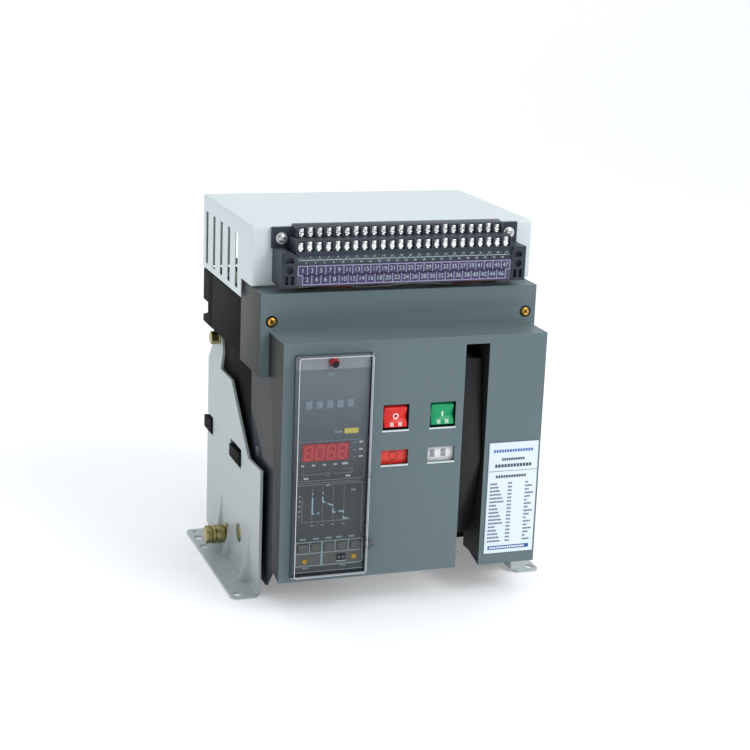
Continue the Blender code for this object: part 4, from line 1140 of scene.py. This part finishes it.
def flag_marks():
    """Plain marks on the two indicator drums."""
    reach = 0.0400 + 0.00012        # the drum and what the marks stand off it
    centre = (0.0448, FLAG_Z)

    def curved(name, outlines, finish, body):
        bm = bmesh.new()
        for outline in outlines:
            bm.faces.new([bm.verts.new(at(x, centre[0] - math.sqrt(reach ** 2 - (z - centre[1]) ** 2), z))
                          for x, z in outline])
        piece(name, bm, finish, body)

    outer, inner = ring_points((OFF_X, 0.1685), 0.0048, 32), ring_points((OFF_X, 0.1685), 0.0040, 32)
    segments = [[outer[i], outer[(i + 1) % 32], inner[(i + 1) % 32], inner[i]] for i in range(32)]
    curved("position_mark", segments, MARK_RED, "position_flag")
    signs = []
    for left in (ON_X - 0.0110, ON_X + 0.0015):
        signs += hatch_sign(left, 0.1640, 0.0060, 0.0086, 12)
    curved("charge_mark", signs, INK, "charge_flag")


def window_sill_highlights():
    """Chamfered sill under each opening in the panel, in pale paint as a painted highlight where the sill
    catches the light.
    """
    bm = bmesh.new()
    for middle in (OFF_X, ON_X):
        for low, half in ((BUTTON_Z - 0.0138, 0.0150), (FLAG_Z - 0.0081, 0.0153)):
            put_box(bm, (middle - half, middle + half), (-0.0003, 0.0002), (low - 0.0016, low + 0.0001),
                    0.00015, 2)
    piece("window_sill_highlights", bm, PALE)


# ---------------------------------------------------------------- nameplate
def nameplate_print():
    """Generic rows of print: no words, only small blocks where a rating plate has its table."""
    (low_x, high_x), (front, _), _ = side_box("nameplate")
    header = marks(low_x + 0.0052, 0.1654, 15, 0.0021, 0.0010, 0.0032)
    printed("nameplate_header", header, BLUE_INK, front)
    title = marks(low_x + 0.0150, 0.1560, 10, 0.0021, 0.0006, 0.0028)
    title += marks(low_x + 0.0075, 0.1484, 12, 0.0028, 0.0008, 0.0036)
    title.append(bar((low_x, high_x), (0.1440, 0.1445)))
    title += marks(low_x + 0.0090, 0.1365, 12, 0.0023, 0.0007, 0.0030)
    printed("nameplate_title", title, INK, front)
    rows = []
    for index in range(17):
        z = 0.1290 - 0.0041 * index
        rows += marks(low_x + 0.0030, z, 5 + (index * 7) % 6, 0.0012, 0.0005, 0.0019)
        rows += marks(low_x + 0.0240, z, 3 + (index * 5) % 5, 0.0012, 0.0005, 0.0019)
        rows += marks(high_x - 0.0130, z, 2 + (index * 3) % 5, 0.0012, 0.0005, 0.0019)
    printed("nameplate_rows", rows, INK, front)
    printed("nameplate_foot", [bar((low_x + 0.0040, high_x - 0.0050), (0.0545, 0.0588))], BLUE_INK, front)
    dashes = marks(low_x + 0.0060, 0.0557, 16, 0.0019, 0.0007, 0.0020)
    printed("nameplate_foot_marks", dashes, WHITE_INK, front - SKIN - PRINT)


# ---------------------------------------------------------------- brackets
def bracket(side, sign):
    """Folded-sheet bracket: cut as a flat pattern, then bent at the foot and joggled at the tab."""
    sheet = BRACKET_SHEET
    inner = BRACKET_FACE - sheet
    bend = 0.0050                       # bend radius on the outer side of the fold
    fold = bend * math.pi / 2
    foot_x = 0.1810
    joggle = (0.2090, 0.2262)
    joggle_in = 0.0050
    toe = -(fold + foot_x - inner - bend)

    def flat_height(z):
        return z - bend

    outline = [(0.0605, 0.1425), (0.1115, 0.1410), (0.1880, joggle[0]), (0.2368, joggle[0]),
               (0.2455, joggle[1]),
               (0.2550, 0.2458), (0.2756, 0.2464), (0.2934, joggle[1]), (0.2940, joggle[0]), (0.2940, bend)]
    pattern = [(depth, flat_height(z)) for depth, z in outline]
    pattern += [(0.2820, -fold * 0.6), (0.2730, -fold - 0.002), (0.2730, toe + 0.004), (0.2690, toe),
                (0.0600, toe), (0.0560, toe + 0.004), (0.0560, -fold - 0.002), (0.0605, -fold * 0.6)]
    solid = bmesh.new()
    put_prism(solid, [(0.0, depth, u) for depth, u in pattern], [(sheet, depth, u) for depth, u in pattern])

    tools = []

    def hole(depth, u, radius, stretch=0.0):
        tool = bmesh.new()
        ring = []
        for step in range(32):
            angle = 2 * math.pi * step / 32
            shift = stretch if math.cos(angle) >= 0 else -stretch
            ring.append((depth + radius * math.cos(angle) + shift, u + radius * math.sin(angle)))
        extrude(tool, ring)
        tools.append(tool)

    def extrude(tool, ring):
        put_prism(tool, [(-0.01, depth, u) for depth, u in ring], [(0.02, depth, u) for depth, u in ring])

    def window(depth, z):
        tool = bmesh.new()
        extrude(tool, [(x, flat_height(u)) for x, u in rounded_rectangle(depth, z, 0.0012)])
        tools.append(tool)

    window((0.1397, 0.1870), HOOK_WINDOW_Z)
    window((0.2681, 0.3100), HOOK_WINDOW_Z)
    hole(0.1458, flat_height(0.0420), 0.0110)
    across = -(fold + 0.1725 - inner - bend)
    hole(0.0658, across, 0.0050, 0.0010)
    hole(0.2148, across, 0.0055)
    hole(0.2440, across, 0.0050, 0.0015)
    hole(0.2650, across, 0.0025)
    mesh = carved("bracket_pattern", solid, tools)

    bm = bmesh.new()
    bm.from_mesh(mesh)
    cuts = [-fold * step / 8 for step in range(9)] + [flat_height(joggle[0]), flat_height(joggle[1])]
    for u in cuts:
        bmesh.ops.bisect_plane(bm, geom=bm.verts[:] + bm.edges[:] + bm.faces[:], dist=0.000001,
                               plane_co=(0, 0, u), plane_no=(0, 0, 1))
    for vert in bm.verts:
        out, depth, u = vert.co
        if u >= 0:
            part = min(1.0, max(0.0, (u + bend - joggle[0]) / (joggle[1] - joggle[0])))
            x, z = inner + out - joggle_in * part, bend + u
        elif u > -fold:
            angle = -u / bend
            radius = bend - out
            x = inner + bend - radius * math.cos(angle)
            z = bend - radius * math.sin(angle)
        else:
            x, z = inner + bend + (-u - fold), out
        vert.co = at(sign * x, depth, z)
    made = piece("bracket_sheet_" + side, bm, BRACKET, smooth=25,
                 stands_for=("bracket_" + side,))
    edges = made.modifiers.new("round_edges", "BEVEL")
    edges.width = 0.0005
    edges.segments = 2
    edges.limit_method = "ANGLE"
    edges.angle_limit = math.radians(50)
    ribs = ((0.1020, 0.0700, 0.0130, 0.0060), (0.1860, 0.0430, 0.0100, 0.0050),
            (0.2230, 0.0680, 0.0130, 0.0060))
    for number, rib in enumerate(ribs, 1):
        stiffening_rib("bracket_rib_%s_%d" % (side, number), sign, *rib)


def stiffening_rib(name, sign, depth, top, reach, half):
    """Pressed gusset across the bend: widest at the foot, narrowing to a rounded point up the upright."""
    face, floor, bulge = BRACKET_FACE, BRACKET_SHEET, 0.0022
    across, along = 8, 12
    bm = bmesh.new()
    columns = []
    for side_step in range(-across, across + 1):
        share = side_step / across
        full = max(0.03, math.cos(share * math.pi / 2))
        column = []
        for step in range(along + 1):
            part = step / along
            out = full * (reach * part ** 3 + bulge * math.sin(math.pi * part)) - 0.0003
            column.append(bm.verts.new(at(sign * (face + out), depth + share * half,
                                          floor + (top - floor) * full * (1 - part))))
        columns.append(column)
    for near, far in zip(columns, columns[1:]):
        for step in range(along):
            bm.faces.new((near[step], near[step + 1], far[step + 1], far[step]))
    piece(name, bm, BRACKET, smooth=60)


# ---------------------------------------------------------------- bolts
def threaded(bm, centre, radius, start, end, sign, pitch=0.0012):
    """A shank with rolled thread ridges along X."""
    profile = [(0, start), (radius - 0.0006, start)]
    count = max(2, int(abs(end - start) / pitch))
    step = (end - start) / count
    for index in range(count):
        profile.append((radius - 0.0005, start + step * index + step * 0.15))
        profile.append((radius, start + step * index + step * 0.5))
        profile.append((radius - 0.0005, start + step * index + step * 0.85))
    profile += [(radius - 0.0006, end), (0, end)]
    put_turned(bm, profile, centre, "X", sign, 24)


def bolts():
    for side, sign in (("left", -1), ("right", 1)):
        for where in ("top", "low"):
            node = "bracket_%s_bolt_%s" % (where, side)
            (low_x, high_x), (front, back), (low_z, high_z) = side_box(node)
            centre = at(0.0, (front + back) / 2, (low_z + high_z) / 2)
            near, far = sorted((abs(low_x), abs(high_x)))
            bm = bmesh.new()
            put_turned(bm, ((0, near), (0.0076, near), (0.0080, near + 0.0004), (0.0080, near + 0.0012),
                            (0.0076, near + 0.0016), (0, near + 0.0016)), centre, "X", sign, 32)
            put_hexagon(bm, 0.0130, centre, "X", near + 0.0015, far - 0.0001, sign, 0.0007)
            piece(node + "_head", bm, ZINC, smooth=30, stands_for=(node,))
    (low_x, high_x), (front, back), (low_z, high_z) = side_box("earth_bolt")
    centre = at(0.0, (front + back) / 2, (low_z + high_z) / 2)
    end = -low_x
    bm = bmesh.new()
    put_hexagon(bm, 0.0180, centre, "X", 0.1690, end - 0.0001, -1, 0.0009)
    put_turned(bm, ((0.0, 0.1655), (0.0108, 0.1655), (0.0112, 0.1659), (0.0112, 0.1675), (0.0106, 0.1690),
                    (0.0, 0.1690)), centre, "X", -1, 36)
    threaded(bm, centre, 0.0058, 0.1510, 0.1660, -1)
    put_turned(bm, ((0.0, -high_x), (0.0108, -high_x), (0.0112, -high_x + 0.0004), (0.0112, 0.1526),
                    (0.0108, 0.1530),
                    (0.0, 0.1530)), centre, "X", -1, 36)
    piece("earth_bolt_and_washers", bm, ZINC, smooth=30, stands_for=("earth_bolt",))
    bm = bmesh.new()
    put_hexagon(bm, 0.0180, centre, "X", 0.1541, 0.1652, -1, 0.0009, 0.0063)
    piece("earth_nut_chamfered", bm, ZINC, smooth=30, stands_for=("earth_nut",))


# ---------------------------------------------------------------- CAD nodes that keep their shape
def dress_nodes():
    finish_node("front_cover", GREY, 0.0012, steps=3)
    finish_node("nameplate", LABEL, 0.0001)
    finish_node("terminal_block", SLATE, 0.0003)
    finish_node("controller_housing", CASE, 0.0008)
    finish_node("controller_faceplate", FACE)
    finish_node("controller_reset_button", RED, 0.0004, 40)
    for number in range(1, 6):
        finish_node("controller_key_%d" % number, KEY, 0.0003)
    finish_node("off_button", RED, 0.0005, 50)
    finish_node("on_button", GREEN, 0.0005, 50)
    finish_node("position_flag", RED_FLAG)
    finish_node("charge_flag", WHITE_FLAG)
    finish_node("charging_handle", HANDLE, 0.0014, steps=3)
    for name in ("contact_housing", "rear_base"):
        finish_node(name, BLACK, 0.0008)
    for side in ("left", "right"):
        finish_node("side_plate_" + side, NAVY, 0.0003)
    for number in (1, 2, 3):
        finish_node("arc_chute_%d" % number, FIBRE, 0.0003)
        finish_node("moving_contact_%d" % number, TIN, 0.0005)
        finish_node("drive_link_%d" % number, LINK, 0.0005)
        finish_node("upper_terminal_%d" % number, TIN, 0.0008)
        finish_node("lower_terminal_%d" % number, TIN, 0.0008)
        finish_node("current_transformer_%d" % number, CASE, 0.0012)
    for name in ("cam_shaft", "closing_spring", "main_shaft", "charging_motor"):
        finish_node(name, STEEL)
    finish_node("mechanism_frame", STEEL, 0.0004)
    for name in ("trip_coil", "closing_coil"):
        finish_node(name, COIL)


# ---------------------------------------------------------------- studio
def camera():
    turn, lift, roll = (math.radians(angle) for angle in (-19.77, 14.97, 2.24))
    back = Vector((math.sin(turn) * math.cos(lift), -math.cos(turn) * math.cos(lift), math.sin(lift)))
    right = (-back).cross(Vector((0, 0, 1))).normalized()
    up = right.cross(-back)
    x_axis = math.cos(roll) * right + math.sin(roll) * up
    y_axis = back.cross(x_axis)
    data = bpy.data.cameras.new("camera")
    data.lens = 82.1
    data.sensor_width = 36.0
    made = bpy.data.objects.new("camera", data)
    bpy.context.scene.collection.objects.link(made)
    turned = Matrix((x_axis, y_axis, back)).transposed().to_4x4()
    made.matrix_world = Matrix.Translation((-0.6246, -1.7599, 0.7154)) @ turned
    bpy.context.scene.camera = made


def area_light(name, place, target, size, power, colour=(1, 1, 1)):
    data = bpy.data.lights.new(name, "AREA")
    data.shape = "RECTANGLE"
    data.size, data.size_y = size
    data.energy = power
    data.color = colour
    made = bpy.data.objects.new(name, data)
    bpy.context.scene.collection.objects.link(made)
    made.location = place
    made.rotation_mode = "QUATERNION"
    made.rotation_quaternion = (Vector(target) - Vector(place)).to_track_quat("-Z", "Y")


def studio():
    """Pale sweep, soft lights and a pale world."""
    scene = bpy.context.scene
    scene.view_settings.view_transform = "Standard"
    world = bpy.data.worlds.new("studio")
    world.use_nodes = True
    world.node_tree.nodes["Background"].inputs["Color"].default_value = (0.92, 0.96, 1.0, 1.0)
    world.node_tree.nodes["Background"].inputs["Strength"].default_value = 0.55
    scene.world = world
    area_light("key_light", (1.5, -2.2, 2.2), (0, 0, 0.2), (1.8, 1.8), 52)
    area_light("top_light", (0.2, 0.2, 2.6), (0, 0, 0.2), (2.2, 2.2), 11)
    area_light("left_light", (-2.4, -0.6, 1.3), (0, 0, 0.2), (1.2, 1.6), 6)

    bm = bmesh.new()
    profile = [(-8.0, 0.0)]
    for step in range(13):
        angle = math.radians(90 * step / 12)
        profile.append((2.0 + 1.0 * math.sin(angle), 1.0 - 1.0 * math.cos(angle)))
    profile.append((3.0, 9.0))
    rows = [[bm.verts.new((x, y, z)) for y, z in profile] for x in (-9.0, 9.0)]
    for index in range(len(profile) - 1):
        bm.faces.new((rows[0][index], rows[1][index], rows[1][index + 1], rows[0][index + 1]))
    mesh = bpy.data.meshes.new("sweep")
    bm.to_mesh(mesh)
    bm.free()
    mesh.shade_smooth()
    paper = look("paper_sweep", (0.90, 0.91, 0.92), 0.80, mottle=0.01, patch=2.0, grain=300.0, bump=0.02)
    shader = paper.node_tree.nodes["Principled BSDF"]
    shader.inputs["Emission Color"].default_value = (1.0, 1.0, 1.0, 1.0)
    shader.inputs["Emission Strength"].default_value = 0.24
    mesh.materials.append(paper)
    made = bpy.data.objects.new("sweep", mesh)
    scene.collection.objects.link(made)


def build():
    camera()
    studio()
    dress_nodes()
    hood()
    splitter_plates()
    visible_screws()
    terminal_clamps()
    block_markings()
    wires()
    controller_front()
    clear_door()
    door_rim_highlights()
    seal_wire()
    button_marks()
    flag_marks()
    window_sill_highlights()
    nameplate_print()
    for side, sign in (("left", -1), ("right", 1)):
        bracket(side, sign)
    bolts()


build()
